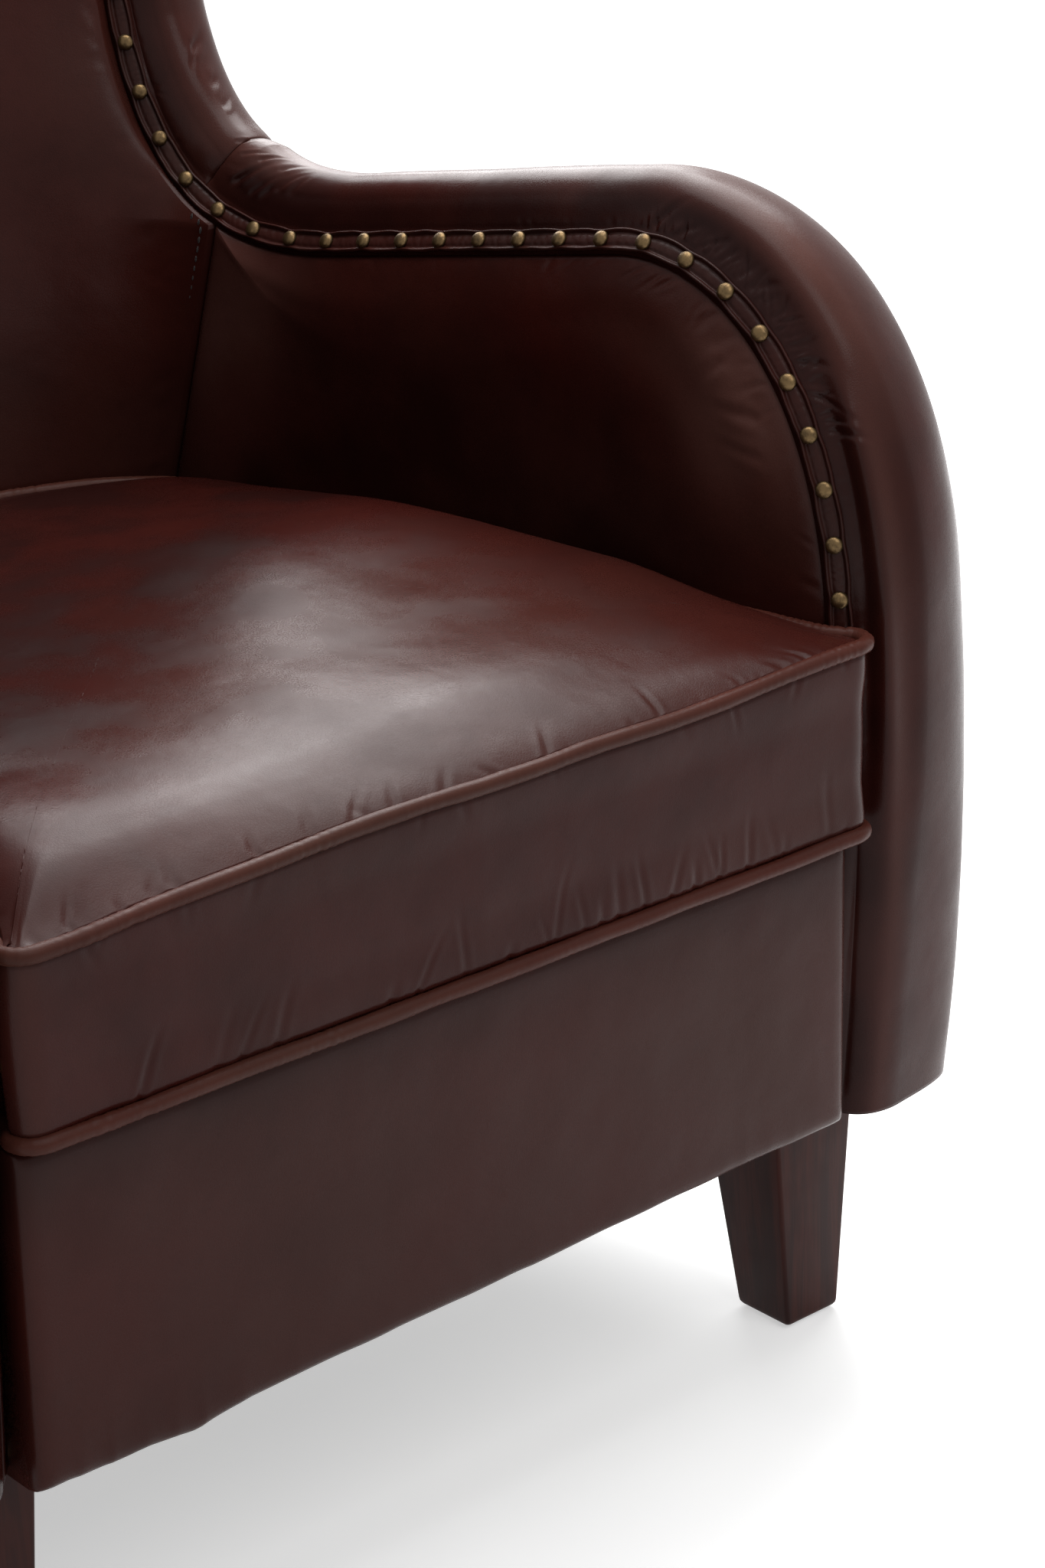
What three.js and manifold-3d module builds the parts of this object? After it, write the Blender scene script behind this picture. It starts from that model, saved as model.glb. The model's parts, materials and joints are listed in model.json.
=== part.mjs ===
// Wing armchair in leather: hardwood frame, sinuous springs, padded panels, nailed trim, loose cushion.
// Millimetres, +Z up. The seat faces -Y, and +X is the right-hand side as seen from the front.
import * as THREE from "three";
import { mergeVertices } from "three/addons/utils/BufferGeometryUtils.js";
import Module from "manifold-3d";

const wasm = await Module();
wasm.setup();

// Fits
const gap = 0.3; // between pieces that touch
const overrun = 6; // how far a cut runs past what it cuts
const mergeDistance = 1e-4; // vertices closer than this are one

// Overall plan: each side runs back from the front border's face and closes in toward the back
const seatHalfWidth = 281; // between the inner arm faces, at the front
const sideTaperShare = 0.13; // inward run of a side for each unit of depth
const hemHeight = 142; // lower edge of the upholstery
const frameBottom = 145; // lower edge of the rails and posts
const sagSet = 397; // lowest point of the arm, behind the front border, which sets the seat's depth
const sagHeight = 611;
const crestHeight = 1000; // nail line along the top of the back
const wingRise = crestHeight - sagHeight;
const backBehindSag = 191;
const backThickness = 57; // in the middle, from the inner back at the cushion to the outside back's hem
const backCentreDepth = sagSet + backBehindSag; // inner back at the cushion, in the middle
const backFootDepth = backCentreDepth + backThickness; // outside back at the hem
const backRakeShare = 0.1645; // backward run of the outside back for each unit of height
const wingFlare = 34; // outward lean of the wings at the crest
const flareStart = sagHeight + wingRise / 10; // height where the wings begin to lean out

// Layers across a side, out from the inner arm face
const armPadThickness = 45;
const armPadRound = 7; // reach of the pad's rounded edge
const armPadRoundRun = 60; // width of that edge
const armPadRoundShares = [[1, 0], [0.64, 0.03], [0.29, 0.15], [0.09, 0.4], [0, 1]]; // reach and inset
const sideFrameWidth = 45;
const outsidePanelThickness = 10;
const panelBevel = 3;
const narrowCore = 20; // reach beyond which a side thins toward the back
const narrowLength = 1400; // depth at which it would have thinned to nothing
const frameInner = armPadThickness;
const frameOuter = frameInner + sideFrameWidth;
const panelOuter = frameOuter + outsidePanelThickness;

// Nail line in the plane of a side: set is the depth behind the front border, height is over the floor
const footSet = 20;
const bellySet = 4;
const bellyHeight = 330;
const kneeSet = 14;
const kneeHeight = 458;
const kneeHandle = 142;
const humpSet = 173.5;
const humpOverSag = 32.5;
const humpHeight = sagHeight + humpOverSag;
const humpHandle = 67;
const sagHandle = 78;
const wingBehindSag = 174;
const wingSet = sagSet + wingBehindSag;
const wingHeight = sagHeight + wingRise * 0.2853;
const wingLean = 15; // degrees off upright where the wing leaves the arm
const wingHandle = wingRise * 0.288;
const wingLeanRun = 13; // from there back to the wing's forward face
const wingFaceSet = wingSet + wingLeanRun;
const wingFaceHeight = sagHeight + wingRise * 0.6144;
const wingFaceHandle = wingRise * 0.1542;
const wingTopRadius = wingRise / 5;
const armSeamShare = 0.44; // along the sweep from arm to wing, where the band is seamed
const quarterHandleShare = 0.5523; // handle that makes a cubic follow a quarter circle

// Padded band outside the nail line
const bandSeat = 9; // depth of the band's base under the nail line
const bandPeakReach = 45; // from the inner arm face to the band's crown
const bandOuterReach = 106;
const bandFrontHeight = 31; // crown over the nail line up the arm front
const bandHumpHeight = 34;
const bandArmHeight = 34;
const bandSeamHeight = 40;
const bandWingHeight = 23;
const bandInnerAngles = [150, 120, 90]; // degrees round the crown, on its inner side
const bandOuterAngle = 72; // and where its outer side begins
const bandOuterSteps = 4;

// Nailed trim strip
const trimWidth = 15;
const trimThickness = 2.2;
const trimTilt = 35; // degrees the strip turns from the inner face toward the band
const trimReach = 8.2; // from the inner arm face to the middle of the strip's back
const trimDrop = 1.8; // from the nail line to the middle of the strip's back
const trimStart = 352; // height where the strip begins, below the cushion's top
const nailRadius = 5;
const nailHeight = 3;
const nailPitch = 31.6;
const nailSides = 5;

// Frame
const railThickness = 25;
const railTop = 294;
const sideRailTop = 306;
const postDepth = 45;
const memberDepth = 40; // of the sawn arm and wing members, under the band
const topRailHeight = 60;
const lowerRailBottom = 352;
const lowerRailHeight = 50;
const cornerBlockLength = 95;
const cornerBlockHeight = 52;
const cornerBlockTip = 22;

// Legs
const legTopWidth = 64;
const legFootWidth = 43;
const legChamfer = 3;
const frontLegOutset = 10; // from the inner arm face out to the leg's middle
const frontLegCentre = seatHalfWidth + frontLegOutset;
const frontLegSet = 37;
const rearLegFromSide = 59;
const rearLegCentre = seatHalfWidth - rearLegFromSide;
const rearLegInset = 22; // from the outside back to the rear leg's back face, at the top
const rearLegRake = 38; // backward run of the rear leg from top to floor
const glideRadius = 14;
const glideThickness = 1.7;
const glidePinRadius = 2;
const glidePinLength = 12;
const boltRadius = 4;
const boltReach = 42; // up a leg from its top
const boltClearance = 0.5;
const nutRadius = 7.5;
const nutHeight = 6;
const boltSides = 12;
const nutSides = 6;

// Seat springs and coverings
const springCount = 4;
const springFromSide = 86; // outer springs, from the inner arm faces at the front
const springSpread = 2 * (seatHalfWidth - springFromSide);
const springWireRadius = 2;
const springWave = 20; // half the width of the wave
const springPitch = 77; // length of one full wave
const clipWidth = 18;
const clipDepth = 17;
const clipHeight = 5.7;
const springCoverThickness = 2.7;
const deckThickness = 26.4;
const dustCoverThickness = 2.4;
const dustCoverReach = 68; // from the inner arm face out under the side rail
const legClearance = 1;

// Front border and back
const borderThickness = 36;
const borderHeight = 184;
const borderRound = 9;
const borderRoundShares = [[1, 0], [0.45, 0.16], [0.14, 0.5], [0, 1]]; // depth, inset
const backPanelThickness = 10;
const webbingThickness = 2.4;
const lumbarHeight = 444; // where the inner back begins to lean
const backLeanShare = 0.182;
const backTopRound = 26;
const backScoopPower = 2.6;
const backAcrossShares = [0, 0.3, 0.54, 0.72, 0.86, 0.95, 1]; // from the back's middle to its edge
const backSeamShare = 0.284; // backward run of the arm-to-back seam for each unit of drop
const crestArch = 10; // rise of the crest in the middle

// Loose seat cushion
const cushionSideGap = 1;
const cushionOverhang = 14; // in front of the front border
const boxingHeight = 110; // from the cushion's bottom to its upper piping
const pipingRadius = 4;
const pipingClearance = 0.3;
const lowerPipingHeight = 5;
const cushionCrown = 32;
const cushionFrontRadius = 15;
const cushionEar = 5; // how far a front corner swells past the arm's inner face
const cushionEarLength = 32;
const cushionRearRadius = 62;
const cushionBow = 48; // backward bow of the rear edge
const cushionPull = 4; // how far each side is drawn in between the corners
const cushionShoulderShare = 0.9; // of the rear radius, from a rear corner to the bow's start
const cushionUnderInset = 26;
const cushionEdgeInset = 4;
const boxingBulge = 1.5;
const crownRun = 165; // from the rim to the crown's full height
const crownShares = [[0.11, 0.42], [0.28, 0.68], [0.58, 0.88], [1, 1]]; // of the run and of the crown
const grooveLipShares = [0.5, 0.6]; // inset and rise of the lip over the upper groove
const squareInset = 8; // inset that stays square to the rim
const heartLimitShare = 0.96;
const coverThickness = 8; // leather with its wadding
const zipHalfLength = 150;
const zipHeight = 9;

// Counts
const leanSteps = 10; // levels that a leaning piece is bent at
const rimSteps = [3, 4, 3, 5, 4, 4]; // along each curve of half the cushion's plan
const springSides = 5;
const springWaveSteps = 6;
const pipingSides = 6;
const runSteps = {
  front: 6,
  hump: 9,
  arm: 3,
  sweepLow: 4,
  sweepHigh: 5,
  wing: 4,
  face: 2,
  top: 6,
  tail: 2,
};
const padLowSteps = 3;
const seamSteps = 5;
const crestBandSteps = 10;
const crestTrimSteps = 8;
const topRailSteps = 2;

// Values worked out from the above
const taperAngle = Math.atan(sideTaperShare);
const taperCos = Math.cos(taperAngle);
const taperSin = Math.sin(taperAngle);
const railEndReach = frameInner - gap;
const coverBottom = railTop + gap + clipHeight + gap;
const deckBottom = coverBottom + springCoverThickness + gap;
const deckTop = deckBottom + deckThickness;
const cushionBottom = deckTop + gap;
const padTop = bandSeat + gap; // depth under the nail line of all that the band sits on

// Mesh helpers

function flatten(ring) {
  const normal = new THREE.Vector3();
  ring.forEach((p, i) => normal.add(p.clone().cross(ring[(i + 1) % ring.length])));
  const size = [Math.abs(normal.x), Math.abs(normal.y), Math.abs(normal.z)];
  const drop = size.indexOf(Math.max(...size));
  const keep = [["y", "z"], ["z", "x"], ["x", "y"]][drop];
  return ring.map((p) => new THREE.Vector2(p[keep[0]], p[keep[1]]));
}

// Triangles that close a ring, wound as the ring is
function capFaces(ring, start, reversed) {
  const flat = flatten(ring);
  const faces = THREE.ShapeUtils.triangulateShape(flat, []);
  const covered = faces.reduce((sum, f) => sum + THREE.ShapeUtils.area(f.map((i) => flat[i])), 0);
  const turned = covered * THREE.ShapeUtils.area(flat) < 0;
  return faces.flatMap(([a, b, c]) => {
    const same = turned === reversed;
    return same ? [start + a, start + b, start + c] : [start + a, start + c, start + b];
  });
}

// The same triangles, each wound the other way
const turnedFaces = (faces) => faces.map((_, i) => faces[i - (i % 3) + [0, 2, 1][i % 3]]);

function meshOf(points, faces) {
  let volume = 0;
  for (let i = 0; i < faces.length; i += 3) {
    const [a, b, c] = [points[faces[i]], points[faces[i + 1]], points[faces[i + 2]]];
    volume += a.dot(b.clone().cross(c));
  }
  const geometry = new THREE.BufferGeometry().setFromPoints(points);
  geometry.setIndex(volume > 0 ? faces : turnedFaces(faces));
  geometry.computeVertexNormals();
  return geometry;
}

// A closed skin through rings of equal count: capped at both ends, or joined into a loop
function loft(rings, looped = false) {
  const count = rings[0].length;
  const faces = [];
  const spans = looped ? rings.length : rings.length - 1;
  for (let i = 0; i < spans; i++) {
    const low = i * count;
    const high = ((i + 1) % rings.length) * count;
    for (let j = 0; j < count; j++) {
      const next = (j + 1) % count;
      faces.push(low + j, low + next, high + next, low + j, high + next, high + j);
    }
  }
  if (!looped) {
    faces.push(...capFaces(rings[0], 0, true));
    faces.push(...capFaces(rings.at(-1), (rings.length - 1) * count, false));
  }
  return meshOf(rings.flat(), faces);
}

function solidOf(geometry) {
  const bare = geometry.clone();
  bare.deleteAttribute("normal");
  bare.deleteAttribute("uv");
  const merged = mergeVertices(bare, mergeDistance);
  return new wasm.Manifold(
    new wasm.Mesh({
      numProp: 3,
      vertProperties: merged.attributes.position.array,
      triVerts: new Uint32Array(merged.index.array),
    }),
  );
}

function geometryOf(solid) {
  const mesh = solid.getMesh();
  const geometry = new THREE.BufferGeometry();
  geometry.setAttribute("position", new THREE.BufferAttribute(mesh.vertProperties, mesh.numProp));
  geometry.setIndex(new THREE.BufferAttribute(mesh.triVerts, 1));
  geometry.computeVertexNormals();
  return geometry;
}

function cut(geometry, ...tools) {
  return geometryOf(tools.reduce((solid, tool) => solid.subtract(solidOf(tool)), solidOf(geometry)));
}

function join(geometry, ...others) {
  return geometryOf(others.reduce((solid, other) => solid.add(solidOf(other)), solidOf(geometry)));
}

// A mirror image across the middle of the chair, its faces still outward
function mirrored(geometry) {
  const image = geometry.clone().scale(-1, 1, 1);
  image.setIndex(turnedFaces(Array.from(image.index.array)));
  return image;
}

function boxBetween(low, high) {
  const size = high.clone().sub(low);
  const middle = low.clone().add(high).multiplyScalar(0.5);
  return new THREE.BoxGeometry(size.x, size.y, size.z).translate(middle.x, middle.y, middle.z);
}

function uprightRod(radius, low, high, place, sides) {
  const rod = new THREE.CylinderGeometry(radius, radius, high - low, sides);
  return rod.rotateX(Math.PI / 2).translate(place.x, place.y, (low + high) / 2);
}

const vec = (x, y, z) => new THREE.Vector3(x, y, z);
const flatPoint = (set, height) => new THREE.Vector2(set, height);
const levelsBetween = (low, high, count) =>
  Array.from({ length: count + 1 }, (_, i) => low + ((high - low) * i) / count);

// Materials

const leather = new THREE.MeshStandardMaterial({ color: 0x3a1f1b, roughness: 0.38 });
const piping = new THREE.MeshStandardMaterial({ color: 0x4a241e, roughness: 0.36 });
const legWood = new THREE.MeshStandardMaterial({ color: 0x2e1512, roughness: 0.4 });
const frameWood = new THREE.MeshStandardMaterial({ color: 0xc39a6b, roughness: 0.7 });
const steel = new THREE.MeshStandardMaterial({ color: 0x9a9a9a, roughness: 0.35, metalness: 1 });
const foam = new THREE.MeshStandardMaterial({ color: 0xe6dcae, roughness: 0.95 });
const darkCloth = new THREE.MeshStandardMaterial({ color: 0x1d1a19, roughness: 0.95 });
const glidePlastic = new THREE.MeshStandardMaterial({ color: 0x2a2624, roughness: 0.6 });
const zipTape = new THREE.MeshStandardMaterial({ color: 0x24150f, roughness: 0.8 });

function addPiece(parent, name, geometry, material) {
  const mesh = new THREE.Mesh(geometry, material.clone());
  mesh.name = name;
  parent.add(mesh);
  return mesh;
}

// The side's own frame: reach is out from the inner arm face, set is back along it

const flareAt = (height) => {
  const share = Math.max(0, height - flareStart) / (crestHeight - flareStart);
  return wingFlare * share ** 2;
};
const backDepthAt = (height) => backFootDepth + backRakeShare * (height - hemHeight);
// Inward run of a layer for each unit of set, as the side thins toward the back
const narrowShareOf = (reach) => Math.max(0, reach - narrowCore) / narrowLength;

// A point of a layer, moved in by the thinning and out by the flare
function flankPoint(reach, set, height) {
  return vec(reach - narrowShareOf(reach) * set + flareAt(height), set, height);
}

// Set at which a layer crosses a depth of the chair
function setAtDepth(reach, depth, height) {
  const lean = reach + flareAt(height);
  return (depth - lean * taperSin) / (taperCos - narrowShareOf(reach) * taperSin);
}

// Half width of the chair on a layer's plane, at a depth from the front
function halfWidthAt(reach, depth, height = 0) {
  const set = setAtDepth(reach, depth, height);
  return seatHalfWidth + flankPoint(reach, set, height).x * taperCos - set * taperSin;
}

// Set of the outside back's plane, less an inset, on a layer
const backSetAt = (reach, height, inset) => setAtDepth(reach, backDepthAt(height) - inset, height);

// Levels of an upright piece: its straight foot, then close steps where the wings lean out
const leaningLevels = (low, top) => [low, ...levelsBetween(flareStart, top, leanSteps)];

// A slab across the chair between two sides' planes, level by level
function crossSlab(levels, reach, frontAt, rearAt) {
  return loft(
    levels.map((z) => {
      const front = frontAt(z);
      const rear = rearAt(z);
      const frontHalf = halfWidthAt(reach, front, z);
      const rearHalf = halfWidthAt(reach, rear, z);
      const nearEnds = [vec(-frontHalf, front, z), vec(frontHalf, front, z)];
      return [...nearEnds, vec(rearHalf, rear, z), vec(-rearHalf, rear, z)];
    }),
  );
}

// Nail line

const foot = flatPoint(footSet, hemHeight);
const knee = flatPoint(kneeSet, kneeHeight);
const hump = flatPoint(humpSet, humpHeight);
const sag = flatPoint(sagSet, sagHeight);
const wing = flatPoint(wingSet, wingHeight);
const wingFace = flatPoint(wingFaceSet, wingFaceHeight);
const wingTopStart = flatPoint(wingFaceSet, crestHeight - wingTopRadius);
const wingTopEnd = flatPoint(wingFaceSet + wingTopRadius, crestHeight);
const bandOverhang = bandOuterReach - panelOuter;
const wingTail = flatPoint(backSetAt(0, crestHeight, -bandOverhang) + overrun, crestHeight);
const belly = flatPoint(bellySet, bellyHeight);
const armSlope = sag.clone().sub(hump).normalize();
const wingSlope = flatPoint(Math.sin((wingLean * Math.PI) / 180), Math.cos((wingLean * Math.PI) / 180));

const frontRun = new THREE.QuadraticBezierCurve(foot, belly, knee);
const humpRun = new THREE.CubicBezierCurve(
  knee,
  knee.clone().add(knee.clone().sub(belly).setLength(kneeHandle)),
  hump.clone().addScaledVector(armSlope, -humpHandle),
  hump,
);
const armRun = new THREE.LineCurve(hump, sag);
const sweepRun = new THREE.CubicBezierCurve(
  sag,
  sag.clone().addScaledVector(armSlope, sagHandle),
  wing.clone().addScaledVector(wingSlope, -wingHandle),
  wing,
);
const wingRun = new THREE.CubicBezierCurve(
  wing,
  wing.clone().addScaledVector(wingSlope, wingFaceHandle),
  wingFace.clone().sub(flatPoint(0, wingFaceHandle)),
  wingFace,
);
const wingFaceRun = new THREE.LineCurve(wingFace, wingTopStart);
const wingTopRun = new THREE.CubicBezierCurve(
  wingTopStart,
  wingTopStart.clone().add(flatPoint(0, wingTopRadius * quarterHandleShare)),
  wingTopEnd.clone().sub(flatPoint(wingTopRadius * quarterHandleShare, 0)),
  wingTopEnd,
);
const tailRun = new THREE.LineCurve(wingTopEnd, wingTail);
const seamGapShare = gap / sweepRun.getLength();

// Places along a run, each with its outward direction and the band's crown height there
function placesOn(run, from, to, steps, crownFrom, crownTo) {
  return levelsBetween(from, to, steps).map((t, i) => {
    const along = run.getTangent(t);
    const crown = crownFrom + ((crownTo - crownFrom) * i) / steps;
    return { at: run.getPoint(t), out: flatPoint(-along.y, along.x), crown };
  });
}

const chain = (...parts) => parts.flatMap((part, i) => (i ? part.slice(1) : part));

const frontPlaces = chain(
  placesOn(frontRun, 0, 1, runSteps.front, bandFrontHeight, bandFrontHeight),
  placesOn(humpRun, 0, 1, runSteps.hump, bandFrontHeight, bandHumpHeight),
);
const armTopPlaces = chain(
  placesOn(armRun, 0, 1, runSteps.arm, bandHumpHeight, bandArmHeight),
  placesOn(sweepRun, 0, armSeamShare, runSteps.sweepLow, bandArmHeight, bandSeamHeight),
);
const armPlaces = chain(frontPlaces, armTopPlaces);
const wingRisePlaces = chain(
  placesOn(sweepRun, armSeamShare + seamGapShare, 1, runSteps.sweepHigh, bandSeamHeight, bandWingHeight),
  placesOn(wingRun, 0, 1, runSteps.wing, bandWingHeight, bandWingHeight),
  placesOn(wingFaceRun, 0, 1, runSteps.face, bandWingHeight, bandWingHeight),
  placesOn(wingTopRun, 0, 1, runSteps.top, bandWingHeight, bandWingHeight),
);
const tailPlaces = placesOn(tailRun, 0, 1, runSteps.tail, bandWingHeight, bandWingHeight);
const wingPlaces = chain(wingRisePlaces, tailPlaces);

function paramAtHeight(run, height) {
  let low = 0;
  let high = 1;
  for (let i = 0; i < 30; i++) {
    const middle = (low + high) / 2;
    if (run.getPoint(middle).y < height) low = middle;
    else high = middle;
  }
  return low;
}

// A point of a side: reach across it, rise out from the nail line at a place, kept within the back's plane
function sidePoint(place, reach, rise, backInset = 0) {
  const set = place.at.x + place.out.x * rise;
  const height = place.at.y + place.out.y * rise;
  return flankPoint(reach, Math.min(set, backSetAt(reach, height, backInset)), height);
}

// The band

// Direction along the trim strip's section, and the way its face looks, as reach and rise
const tilt = (trimTilt * Math.PI) / 180;
const stripAlong = flatPoint(Math.sin(tilt), Math.cos(tilt));
const stripOut = flatPoint(-Math.cos(tilt), Math.sin(tilt));
const stripMiddle = flatPoint(trimReach, -trimDrop);

// Section of the band: a chamfer that carries the strip, then a crown that ends over the outside panel
function bandSection(crown) {
  const seatMiddle = stripMiddle.clone().addScaledVector(stripOut, -gap);
  const lower = seatMiddle.clone().addScaledVector(stripAlong, (-bandSeat - seatMiddle.y) / stripAlong.y);
  const upper = seatMiddle.clone().addScaledVector(stripAlong, trimWidth / 2);
  const inner = bandInnerAngles.map((degrees) => {
    const angle = (degrees * Math.PI) / 180;
    const half = bandPeakReach - upper.x;
    return flatPoint(bandPeakReach + half * Math.cos(angle), crown * Math.sin(angle));
  });
  const outer = levelsBetween(bandOuterAngle, 0, bandOuterSteps).map((degrees) => {
    const angle = (degrees * Math.PI) / 180;
    const half = bandOuterReach - bandPeakReach;
    return flatPoint(bandPeakReach + half * Math.cos(angle), crown * Math.sin(angle));
  });
  return [lower, upper, ...inner, ...outer, flatPoint(panelOuter, -bandSeat)];
}

// The band along a list of places, its section grown outward by a clearance
function bandGeometry(places, growth = 0) {
  const heart = flatPoint(bandPeakReach, 0);
  return loft(
    places.map((place) =>
      bandSection(place.crown).map((p) => {
        const grown = p.clone().sub(heart).setLength(p.distanceTo(heart) + growth).add(heart);
        return sidePoint(place, grown.x, grown.y, -bandOverhang - growth);
      }),
    ),
  );
}

// A sawn member of constant depth under the band
function memberGeometry(places, backInset, lowest) {
  return loft(
    places.map((place) => {
      const corners = [
        [frameInner, -padTop],
        [frameOuter, -padTop],
        [frameOuter, -padTop - memberDepth],
        [frameInner, -padTop - memberDepth],
      ];
      return corners.map(([reach, rise]) => {
        const p = sidePoint(place, reach, rise, backInset);
        return p.setZ(Math.max(p.z, lowest));
      });
    }),
  );
}

// Trim strip and nails

function stripCorners() {
  const half = trimWidth / 2;
  const back = [half, -half].map((d) => stripMiddle.clone().addScaledVector(stripAlong, d));
  const face = [-half, half].map((d) => {
    return stripMiddle.clone().addScaledVector(stripAlong, d).addScaledVector(stripOut, trimThickness);
  });
  return [...back, ...face];
}

// Places at an equal pitch along a list of places, half a pitch in from each end
function pitchedPlaces(places, pitch) {
  const lengths = [0];
  places.slice(1).forEach((place, i) => lengths.push(lengths[i] + place.at.distanceTo(places[i].at)));
  const total = lengths.at(-1);
  const count = Math.max(1, Math.round(total / pitch));
  return Array.from({ length: count }, (_, i) => {
    const target = (total * (i + 0.5)) / count;
    const next = lengths.findIndex((length) => length >= target);
    const share = (target - lengths[next - 1]) / (lengths[next] - lengths[next - 1]);
    const [low, high] = [places[next - 1], places[next]];
    return {
      at: low.at.clone().lerp(high.at, share),
      out: low.out.clone().lerp(high.out, share).normalize(),
      crown: low.crown,
    };
  });
}

// A nail head with its base sunk in the strip, at a seat and looking along a direction
function nailHead(seat, direction) {
  const profile = [
    new THREE.Vector2(0, -trimThickness / 2),
    new THREE.Vector2(nailRadius, -trimThickness / 2),
    new THREE.Vector2(nailRadius * Math.SQRT1_2, nailHeight * Math.SQRT1_2),
    new THREE.Vector2(0, nailHeight),
  ];
  const turn = new THREE.Quaternion().setFromUnitVectors(vec(0, 1, 0), direction.clone().normalize());
  const head = new THREE.LatheGeometry(profile, nailSides).applyQuaternion(turn);
  return head.translate(seat.x, seat.y, seat.z);
}

const nailSeat = stripMiddle.clone().addScaledVector(stripOut, trimThickness);

function trimGeometry(places) {
  const strip = loft(places.map((place) => stripCorners().map((p) => sidePoint(place, p.x, p.y))));
  const nails = pitchedPlaces(places, nailPitch).map((place) => {
    const direction = vec(stripOut.x, place.out.x * stripOut.y, place.out.y * stripOut.y);
    return nailHead(sidePoint(place, nailSeat.x, nailSeat.y), direction);
  });
  return join(strip, ...nails);
}

// Panels and pads of a side

const offsetPoint = (place, rise) => place.at.clone().addScaledVector(place.out, rise);
const offsetPoints = (places, rise) => places.map((place) => offsetPoint(place, rise));
// Points on a layer where a set of heights meets the back's plane, less an inset
const rearPoints = (reach, heights, inset) => heights.map((z) => flatPoint(backSetAt(reach, z, inset), z));
const armSeamPoint = offsetPoints(armPlaces, -padTop).at(-1);
const seamHeight = armSeamPoint.y;

// Outer panel below the wing, as wide as the arm is deep
function outsideArmPanel() {
  const rings = [
    [frameOuter + gap, 0],
    [panelOuter - panelBevel, 0],
    [panelOuter, panelBevel],
  ].map(([reach, inset]) => {
    const edge = offsetPoints(armPlaces, -padTop - inset);
    edge[0].y = hemHeight + inset;
    edge.at(-1).y = seamHeight - inset;
    const rearInset = backPanelThickness + gap + inset;
    const rear = rearPoints(reach, [seamHeight - inset, hemHeight + inset], rearInset);
    return [...edge, ...rear].map((p) => flankPoint(reach, p.x, p.y));
  });
  return loft(rings);
}

function outsideWingPanel() {
  const edge = offsetPoints(wingRisePlaces, -padTop);
  edge[0].y = seamHeight + gap;
  const near = frameOuter + gap;
  const rearInset = backPanelThickness + gap;
  return loft(
    edge.map(({ x: set, y: z }) => [
      flankPoint(near, set, z),
      flankPoint(panelOuter, set, z),
      flankPoint(panelOuter, backSetAt(panelOuter, z, rearInset), z),
      flankPoint(near, backSetAt(near, z, rearInset), z),
    ]),
  );
}

// Rail under the arm's band that runs on to the back post
function armRail() {
  const top = offsetPoints(armTopPlaces, -padTop);
  const under = offsetPoints(armTopPlaces.slice(0, runSteps.arm + 1), -padTop - memberDepth);
  const postInset = backPanelThickness + gap + postDepth + gap;
  const rings = [frameInner, frameOuter].map((reach) => {
    const rear = rearPoints(reach, [seamHeight, seamHeight - memberDepth], postInset);
    return [...top, ...rear, ...under.toReversed()].map((p) => flankPoint(reach, p.x, p.y));
  });
  return loft(rings);
}

const seamSetAt = (height) => armSeamPoint.x + backSeamShare * (seamHeight - height);

// Inner arm pad: crowned face, edges drawn in beside the trim and the back
function insideArmPad() {
  const low = paramAtHeight(frontRun, deckBottom);
  const frontPart = placesOn(frontRun, low, 1, padLowSteps, 0, 0);
  const humpPart = placesOn(humpRun, 0, 1, runSteps.hump, 0, 0);
  const edge = offsetPoints(chain(frontPart, humpPart, armTopPlaces), -padTop);
  edge[0].y = deckBottom;
  const seamLevels = levelsBetween(seamHeight, deckBottom, seamSteps).slice(1);
  const seam = seamLevels.map((z) => flatPoint(seamSetAt(z), z));
  const bottomSets = levelsBetween(seamSetAt(deckBottom), edge[0].x, seamSteps).slice(1, -1);
  const bottom = bottomSets.map((set) => flatPoint(set, deckBottom));
  const outline = [...edge, ...seam, ...bottom];
  const heart = flatPoint((humpSet + sagSet) / 2, (deckBottom + sagHeight) / 2);
  const rounds = armPadRoundShares.map(([reach, inset]) => [armPadRound * reach, armPadRoundRun * inset]);
  const rings = [[armPadThickness - gap, 0], ...rounds].map(([reach, inset]) => {
    return outline.map((p) => {
      const pulled = p.clone().lerp(heart, inset / p.distanceTo(heart));
      return flankPoint(reach, pulled.x, pulled.y);
    });
  });
  return loft(rings);
}

// Side rail between the arm post and the back post
function sideRail() {
  const front = footSet + padTop + memberDepth + gap;
  const postInset = backPanelThickness + gap + postDepth + gap;
  const corners = [
    [frameInner, frameBottom],
    [frameInner + railThickness, frameBottom],
    [frameInner + railThickness, sideRailTop],
    [frameInner, sideRailTop],
  ];
  return loft([
    corners.map(([reach, z]) => flankPoint(reach, front, z)),
    corners.map(([reach, z]) => flankPoint(reach, backSetAt(reach, z, postInset), z)),
  ]);
}

function backPost() {
  const top = crestHeight - padTop - gap;
  const rear = backPanelThickness + gap;
  const corners = [
    [frameInner, rear + postDepth],
    [frameOuter, rear + postDepth],
    [frameOuter, rear],
    [frameInner, rear],
  ];
  return loft(
    leaningLevels(frameBottom, top).map((z) => {
      return corners.map(([reach, inset]) => flankPoint(reach, backSetAt(reach, z, inset), z));
    }),
  );
}

// Pieces of the back that cross the chair

const innerBackLimit = backPanelThickness + gap + postDepth + gap + webbingThickness + gap;

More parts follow.
